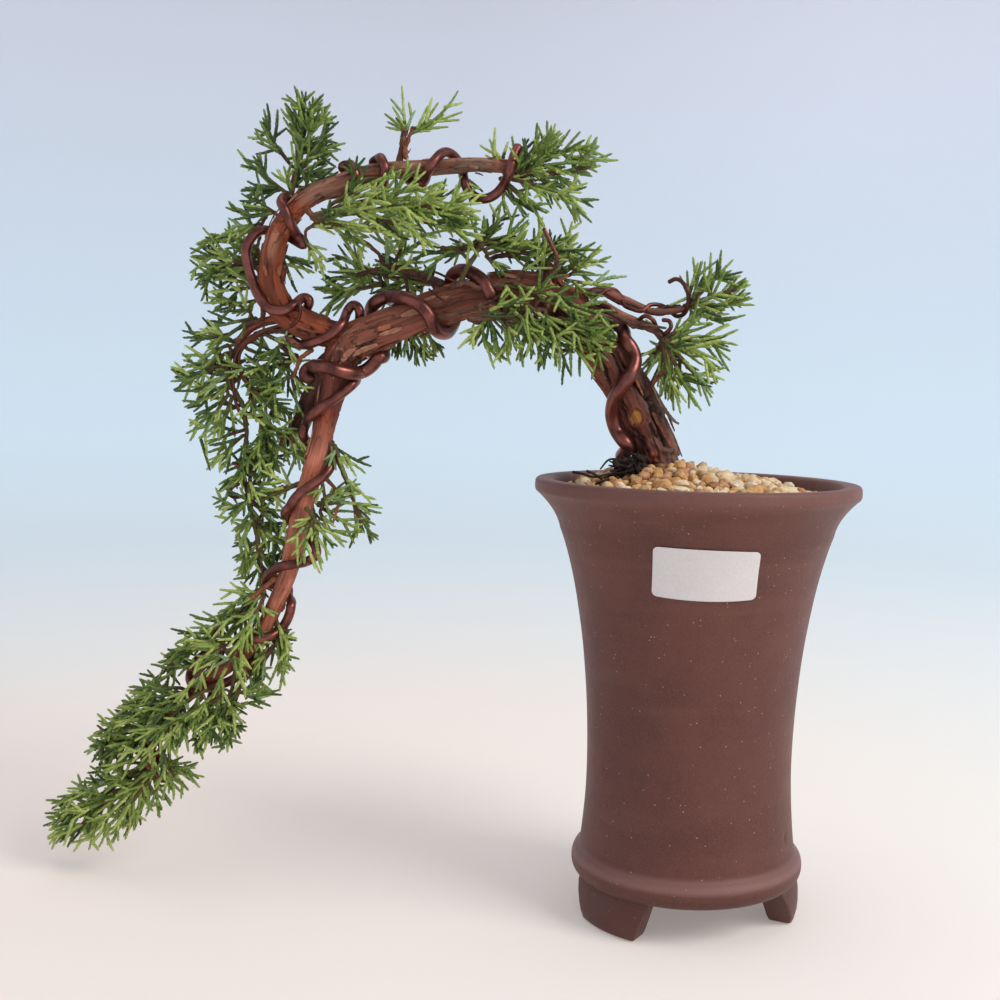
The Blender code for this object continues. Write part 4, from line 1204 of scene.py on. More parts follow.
def branchlet(heap, a, b, lead, rnd, tone, dense=1.0, reach=1.0, wide=0.0):
    """A spray: an axis from a to b with long, slim side shoots set alternately at a narrow angle."""
    ab = b - a
    length = float(np.linalg.norm(ab))
    if length < 2.0:
        return
    d = ab / length
    out = ab - lead * float(ab @ lead)
    n_out = np.linalg.norm(out)
    out = out / n_out if n_out > 0.15 * length else unit(np.cross(d, np.array([rnd.gauss(0, 1) for _ in range(3)])))
    c = a + ab * 0.5 + out * length * rnd.uniform(0.02, 0.10) + np.array([rnd.gauss(0, 0.03) for _ in range(3)]) * length
    shoot(heap, a, c, b, 0.94 if length > 12 else 0.88, 0.52, tone, rnd.uniform(0, 6))
    n = unit(np.cross(d, out) + 0.45 * np.array([rnd.gauss(0, 1) for _ in range(3)]))
    run = rnd.uniform(1.4, 3.0)
    side = rnd.choice((-1, 1))
    while run < length - 3.2:
        s = run / length
        p = a * (1 - s) ** 2 + c * 2 * s * (1 - s) + b * s ** 2
        t = unit((c - a) * (1 - s) + (b - c) * s)
        q = unit(np.cross(n, t)) * side
        ln = min(5.2 + 0.44 * (length - run), 11.5) * rnd.uniform(0.74, 1.14) * reach
        ang = math.radians(rnd.uniform(23, 41) + wide)
        way = unit(t * math.cos(ang) + q * math.sin(ang) + n * rnd.uniform(-0.50, 0.50))
        e = p + way * ln
        cc = p + way * ln * 0.5 + q * ln * rnd.uniform(0.00, 0.09)
        # tones lighter towards the spray's tip and darker towards its base: partly the paler new growth at the tips,
        # partly painted shade inside the spray
        mine = vary(tone, rnd, 0.14 + 0.36 * s, 0.36 * (1 - s))
        shoot(heap, p, cc, e, 0.86, 0.52, mine, rnd.uniform(0, 6))
        if ln > 7.6 and rnd.random() < 0.24:
            sgn = rnd.choice((-1, 1))
            f = rnd.uniform(0.12, 0.34)
            pp = p * (1 - f) ** 2 + cc * 2 * f * (1 - f) + e * f ** 2
            w = unit(way * math.cos(0.60) + unit(np.cross(n, way)) * sgn * math.sin(0.60) + n * rnd.uniform(-0.2, 0.2))
            l2 = ln * (1 - f) * rnd.uniform(0.65, 0.95)
            shoot(heap, pp, pp + w * l2 * 0.5, pp + w * l2, 0.80, 0.42, vary(mine, rnd), rnd.uniform(0, 6))
        side = -side
        run += rnd.uniform(3.1, 4.6) / dense


def grow_leader(heap, base, tip, rnd, palette, tips=(), woody=0.34, spread=1.0, dense=1.0, reach=1.0, bow=None, around=True, plain=False, wide=0.0):
    """A twig that turns green, with sprays set round it by the golden angle and out to its tips."""
    base, tip = np.asarray(base, float), np.asarray(tip, float)
    length = float(np.linalg.norm(tip - base))
    d = (tip - base) / length
    if bow is None:
        bow = np.array([rnd.gauss(0, 1), rnd.gauss(0, 1), rnd.gauss(0.2, 1)])
        bow = (bow - d * (bow @ d)) * length * 0.05
    c = (base + tip) / 2 + bow
    connect(base, rnd, 0.90 if length > 18 else 0.78, d)

    def at(s):
        return base * (1 - s) ** 2 + c * 2 * s * (1 - s) + tip * s ** 2

    def way(s):
        return unit((c - base) * (1 - s) + (tip - c) * s)

    weights = PALETTES[palette]
    pick = lambda: rnd.choices(range(6), weights=weights)[0]
    if plain:
        shoot(heap, base, c * 2 - (base + tip) / 2, tip, 0.86, 0.46, pick(), rnd.uniform(0, 6))
    elif length < 12:
        branchlet(heap, base, tip, unit(np.array([rnd.gauss(0, 1) for _ in range(3)])), rnd, pick(), dense, reach, wide)
    else:
        n = max(3, int(length * woody / 1.6))
        path = np.array([at(s) for s in np.linspace(0, woody + 0.04, n)])
        radii = np.linspace(0.95, 0.80, n) * (1 + 0.08 * np.array([rnd.uniform(-1, 1) for _ in path]))
        tube(TWIGS, path, radii, 7, rnd.choice((0, 1, 1)))
        note_wood(path, radii)
        cut, join = at(woody), at(0.60)
        mid = at((woody + 0.60) / 2) * 2 - (cut + join) / 2
        shoot(heap, cut, mid, join, 0.96, 0.84, pick(), rnd.uniform(0, 6))
        branchlet(heap, join, tip, unit(np.array([rnd.gauss(0, 1) for _ in range(3)])), rnd, pick(), dense, reach, wide)
        run = rnd.uniform(1.5, 4.0)
        phi = rnd.uniform(0, 6.28)
        while around and run < length * 0.80:
            s = run / length
            t = way(s)
            ref = unit(np.cross(t, np.array([0.2, 0.9, 0.4])))
            e2 = np.cross(t, ref)
            w = ref * math.cos(phi) + e2 * math.sin(phi)
            ang = math.radians(rnd.uniform(30, 48))
            fan = min(8.0 + 0.42 * (length - run), 16.5) * rnd.uniform(0.75, 1.18) * spread
            end = at(s) + (t * math.cos(ang) + w * math.sin(ang)) * fan
            branchlet(heap, at(s), end, t, rnd, pick(), dense, reach, wide)
            phi += 2.39996 + rnd.uniform(-0.3, 0.3)
            run += rnd.uniform(5.9, 8.5) / dense
    # sprays that reach the named tips of the outline
    marks = np.linspace(0.08, 0.97, 18)
    line = np.array([at(s) for s in marks])
    seen = seen_at(line)
    mine = []
    for (px, py) in tips:
        v = np.array([px, py]) - seen
        dist = np.hypot(v[:, 0], v[:, 1]) * 0.463
        dirs = np.gradient(seen, axis=0)
        dirs /= np.linalg.norm(dirs, axis=1)[:, None] + 1e-9
        cosang = np.clip((v * dirs).sum(1) / (np.hypot(v[:, 0], v[:, 1]) + 1e-9), -1, 1)
        cost = np.abs(np.degrees(np.arccos(cosang)) - 34) / 22 + np.abs(dist - 12) / 7 + (dist > 24) * 2
        i = int(np.argmin(cost))
        mine.append((cost[i], i, px, py))
    return mine, line, way, marks, pick


def tuft(heap, leaders, tips, rnd, palette, **how):
    """Leaders by picture position and depth; each outline tip goes to the leader that suits it best."""
    grown = []
    single = how.pop("single", 0.36)
    for spec in leaders:
        (u0, v0, y0), (u1, v1, y1) = spec[0], spec[1]
        grown.append(grow_leader(heap, spot(u0, v0, y0), spot(u1, v1, y1), rnd, palette, tips, **how))
    for k, (px, py) in enumerate(tips):
        best = min(range(len(grown)), key=lambda g: grown[g][0][k][0])
        info, line, way, marks, pick = grown[best]
        i = info[k][1]
        a = line[i]
        y = a[1] + rnd.uniform(-5, 5)
        b = spot(px, py, y)
        if np.linalg.norm(b - a) > 30:
            a = a + (b - a) * (1 - 22.0 / np.linalg.norm(b - a))
            connect(a, rnd, 0.75)
        if how.get("plain") or rnd.random() < single:
            shoot(heap, a, (a + b) / 2 + np.array([0, 0, rnd.uniform(-0.5, 0.3)]), b, 0.86, 0.52, pick(), rnd.uniform(0, 6))
            continue
        branchlet(heap, a, b, way(marks[i]), rnd, pick(), 0.90 * how.get("dense", 1.0), 0.95 * how.get("reach", 1.0), how.get("wide", 0.0))


def body_fill(heap, root, tip, wide, deep, sag, rnd, palette, count, front_share=0.4, size=0.86):
    """Leaders from the spine of a mass out to its sides, so that it is full all round."""
    a, b = np.array(root, float), np.array(tip, float)
    mid = (a + b) / 2 + np.array([0, 0, -sag * 2.0])
    spine = [a * (1 - t) ** 2 + mid * 2 * t * (1 - t) + b * t ** 2 for t in np.linspace(0, 0.8, 6)]
    connect(spine[0], rnd, 1.2)
    twig(spine, 1.2, 0.75, rnd, mat=0)
    along = unit(b - a)
    depth = unit(np.array([0, 1.0, 0]) - along * along[1])
    side = np.cross(depth, along)
    for k in range(int(round(count * 0.60))):
        t0 = rnd.uniform(0.02, 0.62)
        t1 = min(0.97, t0 + rnd.uniform(0.22, 0.42))
        s = a * (1 - t0) ** 2 + mid * 2 * t0 * (1 - t0) + b * t0 ** 2
        e = a * (1 - t1) ** 2 + mid * 2 * t1 * (1 - t1) + b * t1 ** 2
        back = rnd.random() > front_share
        ang = rnd.uniform(0.15, math.pi - 0.15)
        full = math.sqrt(max(0.15, 1 - (2 * t1 - 1) ** 2)) * size
        e = e + side * math.cos(ang) * wide * full + depth * math.sin(ang) * deep * full * (1 if back else -1)
        if np.linalg.norm(e - s) < 6:
            continue
        grow_leader(heap, s, e, rnd, palette, woody=0.30, spread=0.85, dense=0.85)


# ================================================================ training wires
def coil(line, hand, wire, u0, k0, u1, k1, slack=0.0):
    """Points every eighth of a turn hugging a limb; whole turns face the front."""
    n = max(2, int(round(abs(k1 - k0) * 8)) + 1)
    u = np.linspace(u0, u1, n)
    k = np.linspace(k0, k1, n)
    q = line.at(u)
    t, e1, e2 = line.frame(u)
    a = 2 * np.pi * k * hand
    reach = q[:, 3] * 1.06 + wire + 0.35 + slack
    return list(q[:, :3] + (e1 * np.cos(a)[:, None] + e2 * np.sin(a)[:, None]) * reach[:, None])


def hug(line, wire, px, py, side):
    """The point at a picture position that lies against a limb: side 1 in front, -1 behind."""
    u = line.nearest_px(px, py)
    q = line.at(u)[0]
    t = line.frame(u)[0][0]
    reach = q[3] * 1.06 + wire + 0.35
    y = q[1]
    for _ in range(3):
        v = spot(px, py, y) - q[:3]
        v = v - t * (v @ t)
        v[1] = 0
        d = np.linalg.norm(v)
        y = q[1] - side * math.sqrt(max(0.0, reach ** 2 - d ** 2))
    return spot(px, py, y)


def wire_path(line, wire, items, spacing=0.9):
    pts = []
    for it in items:
        if isinstance(it, list):
            pts += it
        elif it[2] == -2:                       # right behind the limb's axis
            u = line.nearest_px(it[0], it[1])
            q = line.at(u)[0]
            pts.append(q[:3] - line.frame(u)[1][0] * (q[3] * 1.06 + wire + 0.35))
        else:
            pts.append(hug(line, wire, *it))
    path = smooth_path(np.array(pts), spacing)
    # keep the wire out of the wood
    for _ in range(3):
        d = path[:, None, :] - line.fine[None, :, :3]
        dist = np.linalg.norm(d, axis=2)
        short = (line.fine[None, :, 3] * 1.03 + wire * 0.98) - dist
        i = np.argmax(short, 1)
        s = short[np.arange(len(path)), i]
        push = d[np.arange(len(path)), i]
        push /= np.linalg.norm(push, axis=1)[:, None] + 1e-9
        path = path + push * np.clip(s, 0, None)[:, None]
        soft = path.copy()
        soft[1:-1] = (path[:-2] + 2 * path[1:-1] + path[2:]) / 4
        path = soft
    return path


def build_wires():
    copper = wire_material("wire_copper_brown", srgb(136, 80, 70), srgb(92, 52, 47))
    thin_copper = wire_material("wire_thin_brown", srgb(112, 64, 52), srgb(80, 46, 40))
    W = 3.2
    trunk = wire_path(TRUNK, W, [
        (641, 484, 0), (639, 468, 0), (636, 455, 0), (627, 445, 1), (617, 432, 1), (612, 416, 1), (614, 400, 1), (621, 388, 1), (630, 375, 1),
        (635, 363, 1), (633, 351, 1), (626, 341, 1), (617, 333, 0), coil(TRUNK, 1, W, 3.9, 1.42, 6.75, 2.75),
        (493, 298, 1), (484, 282, 1), (470, 272, 1), (459, 271, 0), (451, 280, -1), (452, 300, -2),
        (453, 324, -1), (445, 333, 0), (435, 329, 1), (430, 317, 1), (420, 305, 1), (405, 298, 1), (388, 297, 1), (376, 302, 1),
        (371, 313, -1), (374, 332, -2), (379, 349, 0), (375, 362, 1), (362, 372, 1), (343, 372, 1), (326, 367, 1), (312, 367, 1),
        (305, 373, 0), (310, 378, -1), (322, 377, -2)])
    M = 2.3
    casc = wire_path(TRUNK, M, [
        (340, 366, -2), (356, 378, -1), (353, 384, 1), (345, 391, 1), (333, 400, 1), (322, 407, 1), (312, 415, 1),
        (306, 424, 1), (303, 433, 0), (308, 442, -1), (320, 448, -2), (331, 454, -1), (332, 463, 0),
        (325, 475, 1), (310, 486, 1), (298, 495, 1), (291, 505, 1), (289, 516, 0), (294, 525, -1), (303, 532, -2),
        (315, 545, -1), (316, 555, 0), (308, 561, 1), (296, 564, 1), (279, 567, 1), (267, 576, 0), (268, 584, -1), (278, 588, -2),
        (288, 596, -1), (291, 606, 0), (288, 618, 1), (281, 629, 1), (269, 637, 1), (255, 639, 1),
        (243, 637, 1), (238, 643, 0), (242, 650, -1), (252, 655, -2), (252, 660, 0), (245, 670, 1),
        (232, 680, 1), (215, 686, 1), (200, 688, 1), (191, 682, 1), (191, 672, 1), (196, 662, 1), (206, 654, 1), (218, 652, 0), (214, 680, -2),
        (209, 706, -1), (202, 718, 0), (186, 726, 1), (167, 728, 1), (150, 730, 1), (141, 739, 0), (150, 750, -1),
        (160, 760, -2), (173, 766, -1), (171, 776, 0), (161, 778, 1), (153, 771, 1), (147, 762, 1)])
    upper = wire_path(UPPER, M, [
        (352, 334, -2), (360, 315, -1), (357, 306, 0), (352, 305, 1), (347, 312, 1), (342, 324, 1), (332, 334, 1), (318, 341, 1), (302, 345, 1),
        (293, 341, 1), (290, 335, 0), (294, 327, -1), (303, 310, -2), (309, 304, -1), (308, 298, 0), (302, 298, 1), (294, 305, 1), (282, 311, 1), (268, 308, 1),
        (259, 297, 1), (253, 282, 1), (248, 266, 1), (246, 250, 0), (252, 237, -1), (263, 230, -1), (283, 236, -2),
        (303, 245, -1), (303, 241, 0), (297, 235, 1), (290, 222, 1), (285, 210, 1), (281, 202, 1), (286, 197, 0), (293, 201, -1), (318, 196, -2),
        (349, 192, -1), (355, 188, 0), (356, 179, 1), (354, 170, 1), (349, 165, 0), (342, 168, -1), (358, 174, -2),
        (377, 183, -1), (383, 177, 0), (385, 168, 1), (380, 160, 0), (373, 164, -1), (395, 168, -2),
        (419, 185, -1), (424, 180, 0), (428, 171, 1), (435, 160, 1), (445, 152, 0), (455, 157, -1), (460, 166, -2),
        (465, 183, -1), (470, 193, 0), (481, 199, 1), (493, 196, 1), (503, 186, 1), (510, 170, 1), (514, 156, 1), (518, 147, 1)])
    for name, path, r, node in (("training_wire_trunk", trunk, W, "wire_trunk"), ("training_wire_cascade", casc, M, "wire_cascade"),
                                ("training_wire_upper", upper, M - 0.05, "wire_upper_bough")):
        h = Heap()
        tube(h, path, r, 20)
        keep(h.build(name, [copper]), "wire", node)
    # thin wires on the side branches
    h = Heap()

    def thin(points, r=1.0, mat=0):
        tube(h, smooth_path(np.array([spot(*p) for p in points]), 0.7), r, 10, mat)

    # each coil goes round its branch: y is the depth, smaller in front
    thin([(574, 303, 5), (580, 297, 0), (586, 294, -2), (597, 296, -3), (607, 290, 1), (615, 290, 4), (622, 298, 2), (624, 305, -1),
          (632, 309, -2), (642, 311, -2), (650, 305, 1), (660, 305, 3), (668, 309, 3), (676, 316, 1), (684, 314, -1), (688, 305, -3), (688, 293, -3),
          (683, 283, -2), (676, 279, -1), (669, 282, 0)])
    thin([(590, 306, -3), (601, 305, -9), (612, 309, -10), (620, 317, -7), (628, 322, -5), (637, 321, -8), (645, 316, -11), (653, 320, -11),
          (657, 329, -8), (660, 335, -7), (666, 333, -10), (671, 327, -11), (669, 321, -10), (663, 320, -9)])
    thin([(544, 229, -14), (547, 235, -14), (552, 246, -14), (557, 257, -14), (555, 267, -13), (557, 278, -12), (562, 286, -11)], 0.95)
    thin([(503, 303, -9), (507, 309, -11), (514, 319, -12), (522, 329, -12), (533, 338, -10), (540, 341, -6)], 1.0)
    thin([(560, 318, -12), (563, 325, -14), (568, 333, -14), (571, 342, -12), (566, 350, -10), (556, 351, -8)], 1.0)
    thin([(436, 314, -8.5), (448, 307, -9), (460, 302, -9), (475, 300, -9), (490, 300, -9)], 0.55)
    thin([(432, 271, 1), (440, 274, -3), (450, 279, -7), (461, 284, -8)], 0.6)
    thin([(429, 289, -6), (438, 297, -8), (448, 304, -9)], 0.5)
    thin([(300, 305, -13), (300, 313, -13), (297, 321, -12), (288, 328, -9), (278, 330, -4), (268, 330, -1), (258, 335, 1), (247, 343, 3), (240, 353, 4),
          (239, 362, 4), (241, 372, 4), (246, 380, 4), (251, 388, 5)], 0.85)
    thin([(284, 325, -6), (272, 328, -2), (258, 333, 1), (246, 341, 3), (237, 353, 3), (234, 365, 3), (233, 378, 4), (234, 392, 4), (237, 406, 4), (242, 416, 4),
          (248, 425, 5)], 0.85)
    thin([(233, 463, 3), (240, 466, 2), (250, 470, 2), (257, 476, 3), (260, 482, 4)], 0.85)
    thin([(239, 484, 1), (233, 487, 0), (229, 493, 1), (233, 497, 3), (240, 497, 5), (248, 494, 7)], 0.85)
    keep(h.build("twig_wires", [thin_copper]), "wire")


# ================================================================ what each mass looks like
# groups of masses: leaders as ((px, py, depth), (px, py, depth)), the outline's tips, palette, filling
CROWN = (
    ("foliage_top", ("tuft_top_left", "sprig_top_left", "sprig_top_right", "tuft_upper_right", "spray_upper_front"), (
        ([((292, 196, -4), (306, 92, 0)), ((285, 192, -2), (244, 159, -3)), ((276, 214, -6), (250, 196, -8)), ((299, 190, -8), (338, 172, -6)),
          ((291, 165, 2), (262, 122, 4)), ((297, 150, 0), (330, 112, 2)), ((294, 175, -2), (330, 140, -6))],
         ((263, 118), (278, 115), (255, 129), (285, 104), (291, 104), (298, 98), (313, 97), (321, 96), (330, 104), (326, 120), (331, 134), (323, 146),
          (332, 152), (335, 167), (257, 142), (265, 145), (257, 155), (256, 171), (252, 184), (241, 191), (242, 204), (245, 208), (240, 218)),
         "black", 13),
        ([((406, 134, -7), (402, 86, -9)), ((407, 131, -7), (415, 111, -7))], ((391, 99), (385, 114), (386, 127), (400, 145), (393, 107), (409, 103), (388, 122), (396, 118)), "soft", 0),
        ([((410, 134, -8), (458, 91, -6)), ((418, 128, -8), (462, 112, -6)), ((414, 132, -8), (448, 127, -8))], ((462, 103), (459, 120), (444, 115), (443, 121), (432, 98), (428, 106), (438, 103), (450, 104), (440, 128), (430, 131)), "fresh", 0),
        ([((503, 172, -2), (608, 160, 0)), ((505, 178, -4), (590, 206, -6)), ((510, 172, 0), (560, 131, -2)), ((500, 168, -2), (508, 142, 0)),
          ((520, 170, 4), (592, 145, 6)), ((505, 180, -2), (545, 211, -4)), ((500, 178, -2), (524, 217, 2)), ((462, 176, -4), (456, 198, -6)), ((466, 176, -2), (474, 198, 0))],
         ((491, 145), (539, 134), (546, 139), (555, 130), (570, 130), (580, 132), (598, 146), (607, 157), (597, 172), (586, 187), (590, 199),
          (576, 220), (582, 210), (548, 212), (532, 208), (513, 203), (452, 194), (463, 201), (473, 197)),
         "mid", 16),
        ([((330, 205, -18), (400, 173, -22)), ((340, 207, -20), (447, 185, -24)), ((350, 211, -22), (481, 203, -22)), ((380, 211, -20), (478, 219, -22)),
          ((370, 215, -22), (440, 246, -20)), ((400, 215, -18), (482, 238, -16)), ((318, 222, -18), (395, 234, -22)), ((312, 226, -16), (372, 232, -20)),
          ((305, 238, -14), (325, 270, -14)), ((325, 212, -22), (372, 190, -26)), ((340, 215, -26), (420, 205, -28)), ((360, 216, -18), (410, 232, -12))],
         ((393, 170), (400, 173), (412, 173), (425, 172), (442, 182), (447, 190), (479, 218), (478, 224), (447, 230), (420, 236), (386, 230), (318, 268), (327, 260)),
         "bright", 12),
    )),
    ("foliage_crown", ("spray_arch_top", "mass_rear_mid", "mass_under_arch", "mass_crown_upper", "mass_crown_front", "mass_crown_rear"), (
        ([((478, 246, -4), (420, 255, -2)), ((480, 246, -6), (484, 217, -8)), ((482, 247, -4), (508, 212, 0)), ((484, 250, -4), (529, 223, -8)),
          ((488, 254, -4), (542, 243, -6)), ((486, 256, -2), (500, 278, -4)), ((480, 250, 2), (455, 240, 8))],
         ((484, 216), (494, 223), (508, 212), (529, 223), (528, 230), (542, 243), (420, 256), (445, 263), (520, 252), (510, 268)), "mid", 7),
        ([((386, 270, 16), (385, 221, 16)), ((365, 272, 16), (345, 256, 14)), ((395, 266, 16), (420, 258, 14)), ((380, 285, 16), (325, 293, 18)), ((385, 276, 14), (425, 284, 14)),
          ((372, 280, 20), (330, 303, 20)), ((395, 262, 18), (412, 226, 18)), ((352, 290, 22), (322, 312, 20)), ((395, 290, 18), (345, 275, 22))],
         ((372, 225), (395, 222), (412, 225), (409, 245), (358, 248), (348, 257), (352, 256), (339, 271), (350, 280), (324, 293), (333, 287), (330, 303), (332, 305), (318, 316)),
         "soft", 14),
        # mass_under_arch takes the dark palette: painted shade under the arch
        ([((412, 318, 12), (388, 352, 14)), ((415, 320, 12), (410, 360, 16)), ((418, 318, 14), (438, 352, 14)), ((405, 322, 14), (384, 340, 18))],
         ((385, 357), (392, 356), (409, 361), (426, 356), (433, 355), (444, 348), (385, 350)), "dark", 4),
        ([((520, 278, -4), (541, 232, -6)), ((540, 276, -2), (571, 236, -4)), ((560, 276, -6), (600, 251, -6)), ((565, 280, -8), (611, 287, -8)), ((500, 285, -10), (558, 287, -14)),
          ((515, 283, -12), (546, 297, -16)), ((545, 262, 4), (578, 236, 8)), ((530, 280, 6), (560, 244, 10)), ((568, 276, -4), (592, 258, -8))],
         ((543, 232), (557, 240), (571, 235), (578, 233), (578, 243), (563, 243), (602, 250), (591, 258), (598, 264), (602, 275), (585, 292), (559, 287), (546, 297)),
         "fresh", 10),
        ([((480, 308, -14), (485, 345, -16)), ((485, 310, -14), (500, 361, -18)), ((505, 308, -16), (510, 364, -20)), ((520, 312, -18), (531, 350, -20)), ((535, 318, -18), (543, 366, -20)),
          ((552, 322, -18), (571, 375, -20)), ((560, 318, -18), (612, 345, -20)), ((562, 322, -16), (608, 361, -18)), ((540, 300, -20), (590, 315, -24)), ((520, 300, -20), (560, 330, -26)),
          ((500, 300, -18), (530, 325, -24)), ((550, 300, -18), (612, 321, -20)), ((558, 330, -14), (590, 366, -16)), ((500, 305, -14), (470, 338, -18)), ((545, 310, -22), (560, 352, -24)),
          ((530, 292, -20), (575, 300, -24)), ((505, 322, -20), (522, 345, -24)), ((570, 325, -20), (598, 340, -24))],
         ((473, 347), (486, 342), (501, 362), (507, 360), (517, 360), (520, 361), (532, 350), (533, 344), (544, 369), (571, 376), (556, 352), (613, 344), (617, 338), (618, 325),
          (612, 320), (595, 365), (600, 350), (584, 356)),
         "mid", 12),
        # mass_crown_rear takes the dark palette: painted shade at the back of the crown
        ([((520, 292, 18), (560, 330, 24)), ((540, 285, 18), (605, 310, 22)), ((500, 290, 18), (478, 330, 20)), ((550, 275, 20), (590, 262, 24)), ((510, 300, 20), (520, 345, 22))],
         (), "dark", 15),
    )),
    ("foliage_right", ("tuft_right_upper", "tuft_right_lower"), (
        ([((690, 304, 0), (733, 260, -4)), ((690, 304, 0), (754, 305, -2)), ((690, 305, 0), (724, 324, -4)), ((688, 300, 0), (698, 263, 4)), ((690, 304, 2), (750, 285, 6)), ((688, 306, 0), (700, 323, 4)),
          ((690, 303, 4), (715, 272, 12)), ((690, 305, -2), (722, 292, -14))],
         ((687, 271), (680, 276), (705, 262), (711, 253), (717, 261), (725, 270), (742, 272), (748, 281), (735, 275), (746, 293), (743, 298), (742, 302), (745, 315), (736, 317),
          (729, 314), (718, 321), (684, 312), (670, 305)), "mid", 7),
        ([((664, 338, -8), (697, 320, -10)), ((666, 340, -10), (737, 345, -12)), ((666, 342, -12), (720, 368, -14)), ((666, 343, -12), (713, 393, -16)), ((665, 344, -12), (696, 406, -14)),
          ((664, 344, -10), (680, 402, -10)), ((662, 344, -6), (660, 396, -6)), ((660, 343, -4), (646, 376, -2)), ((662, 340, -4), (722, 337, -4)), ((663, 346, -2), (690, 385, 6)), ((660, 346, 0), (670, 392, 8))],
         ((646, 320), (650, 322), (693, 314), (697, 320), (722, 336), (726, 336), (719, 340), (717, 343), (730, 360), (723, 366), (716, 384), (712, 384), (709, 387), (701, 396), (689, 408),
          (668, 400), (661, 396), (650, 385), (640, 372), (642, 356), (650, 341)), "fresh", 6),
    )),
    ("foliage_left", ("mass_left_upper", "mass_left_hanging_upper", "mass_left_hanging_lower", "mass_left_trailing"), (
        ([((262, 224, 0), (232, 226, -4)), ((256, 268, 2), (192, 256, 0)), ((256, 285, 0), (205, 277, 2)), ((256, 287, 4), (212, 291, 6)), ((250, 312, 6), (220, 296, 4)), ((256, 318, 4), (214, 327, 2)),
          ((284, 262, 0), (297, 292, 0)), ((258, 250, 6), (208, 234, 8)), ((282, 255, 4), (312, 268, 2)), ((260, 238, 8), (238, 208, 8)), ((262, 280, 10), (225, 262, 16)), ((262, 300, 8), (215, 308, 14))],
         ((243, 202), (235, 222), (225, 229), (232, 236), (245, 245), (253, 233), (258, 242), (203, 228), (216, 238), (198, 245), (193, 253), (190, 260), (198, 266), (190, 273), (202, 276),
          (204, 303), (208, 311), (220, 312), (216, 323), (214, 328), (314, 264), (312, 271), (303, 278), (281, 281)), "mid", 16),
        ([((229, 334, 4), (190, 341, 0)), ((228, 345, 4), (198, 361, 2)), ((223, 355, 4), (176, 391, -2)), ((225, 366, 4), (176, 378, 4)), ((262, 333, 2), (300, 350, -2)), ((262, 340, 4), (258, 362, 0)),
          ((280, 345, 2), (268, 364, -4)), ((294, 375, 2), (260, 388, -2)), ((293, 377, 2), (308, 392, 0)), ((292, 378, 4), (298, 412, 2)), ((240, 345, 8), (215, 330, 14)), ((245, 360, 8), (215, 372, 16)),
          ((232, 372, 2), (200, 392, -6)), ((250, 350, 6), (285, 370, 12)), ((245, 385, 4), (290, 413, 0))],
         ((193, 332), (200, 329), (201, 361), (212, 350), (208, 357), (175, 377), (185, 373), (175, 391), (184, 402), (310, 360), (258, 360), (292, 400), (260, 387)), "mid", 17),
        ([((226, 390, 4), (185, 407, 0)), ((228, 395, 4), (200, 440, 0)), ((232, 398, 4), (219, 438, -2)), ((244, 412, 4), (290, 440, 0)), ((244, 430, 4), (208, 444, 2)), ((242, 436, 2), (212, 468, 0)),
          ((246, 438, 4), (244, 466, 0)), ((289, 428, 2), (311, 444, 0)), ((288, 430, 2), (300, 470, -2)), ((286, 432, 4), (270, 476, 2)), ((262, 415, 4), (258, 455, -4)), ((240, 405, 6), (215, 412, 14)),
          ((262, 425, 6), (275, 460, 12)), ((268, 400, 4), (280, 425, -6)), ((250, 398, 4), (262, 415, -8))],
         ((190, 423), (195, 425), (199, 438), (208, 437), (221, 436), (207, 456), (210, 470), (221, 470), (226, 474), (245, 465), (308, 465), (287, 478), (270, 476), (298, 412)), "mid", 16),
        ([((250, 470, 2), (227, 490, 0)), ((250, 478, 0), (252, 520, -4)), ((252, 500, 0), (220, 510, 0)), ((254, 518, 0), (240, 546, -2)), ((258, 540, 2), (236, 560, 2)), ((256, 525, 2), (283, 545, -2)),
          ((265, 545, 2), (244, 577, 2)), ((268, 555, 2), (278, 572, 0)), ((250, 485, 4), (262, 482, 8)), ((298, 484, 0), (259, 492, -2)), ((272, 494, 0), (284, 510, -4)), ((255, 505, 4), (280, 528, 4))],
         ((226, 489), (219, 510), (231, 521), (232, 531), (236, 539), (239, 546), (235, 560), (242, 573), (242, 577), (246, 579), (281, 483), (281, 527), (286, 537), (285, 548), (258, 503), (275, 500)),
         "mid", 12),
    )),
    ("foliage_cascade", ("spray_right_cascade", "spray_front_cascade", "spray_rear_cascade", "mass_lower_left"), (
        ([((326, 440, -4), (371, 466, -4)), ((322, 482, -4), (332, 525, -6)), ((318, 503, -4), (382, 508, -4)), ((322, 500, -6), (360, 484, -8)), ((322, 508, -4), (364, 532, -8)), ((320, 512, -4), (344, 547, -4)),
          ((335, 445, -6), (347, 480, -8))],
         ((365, 473), (356, 476), (347, 480), (339, 466), (345, 482), (352, 483), (358, 484), (360, 494), (371, 503), (381, 513), (366, 518), (364, 532), (354, 543)), "soft", 3),
        ([((312, 517, -10), (292, 527, -15)), ((312, 519, -10), (291, 543, -16)), ((313, 520, -12), (300, 564, -18)), ((314, 520, -12), (322, 570, -18)), ((315, 520, -10), (333, 548, -14))],
         ((289, 540), (292, 555), (298, 565), (315, 568), (320, 573), (327, 560), (330, 555), (333, 543), (340, 537)), "fresh", 0),
        # spray_rear_cascade takes the dark palette: painted shade behind the cascade
        ([((300, 505, 10), (318, 530, 16)), ((295, 530, 10), (280, 560, 14))], (), "dark", 7),
        ([((272, 584, -4), (218, 613, 0)), ((265, 595, -4), (238, 594, 2)), ((262, 600, -6), (240, 638, -12)), ((250, 612, -6), (205, 632, -4)), ((245, 620, -6), (248, 652, -12)), ((250, 630, -4), (262, 650, -8)),
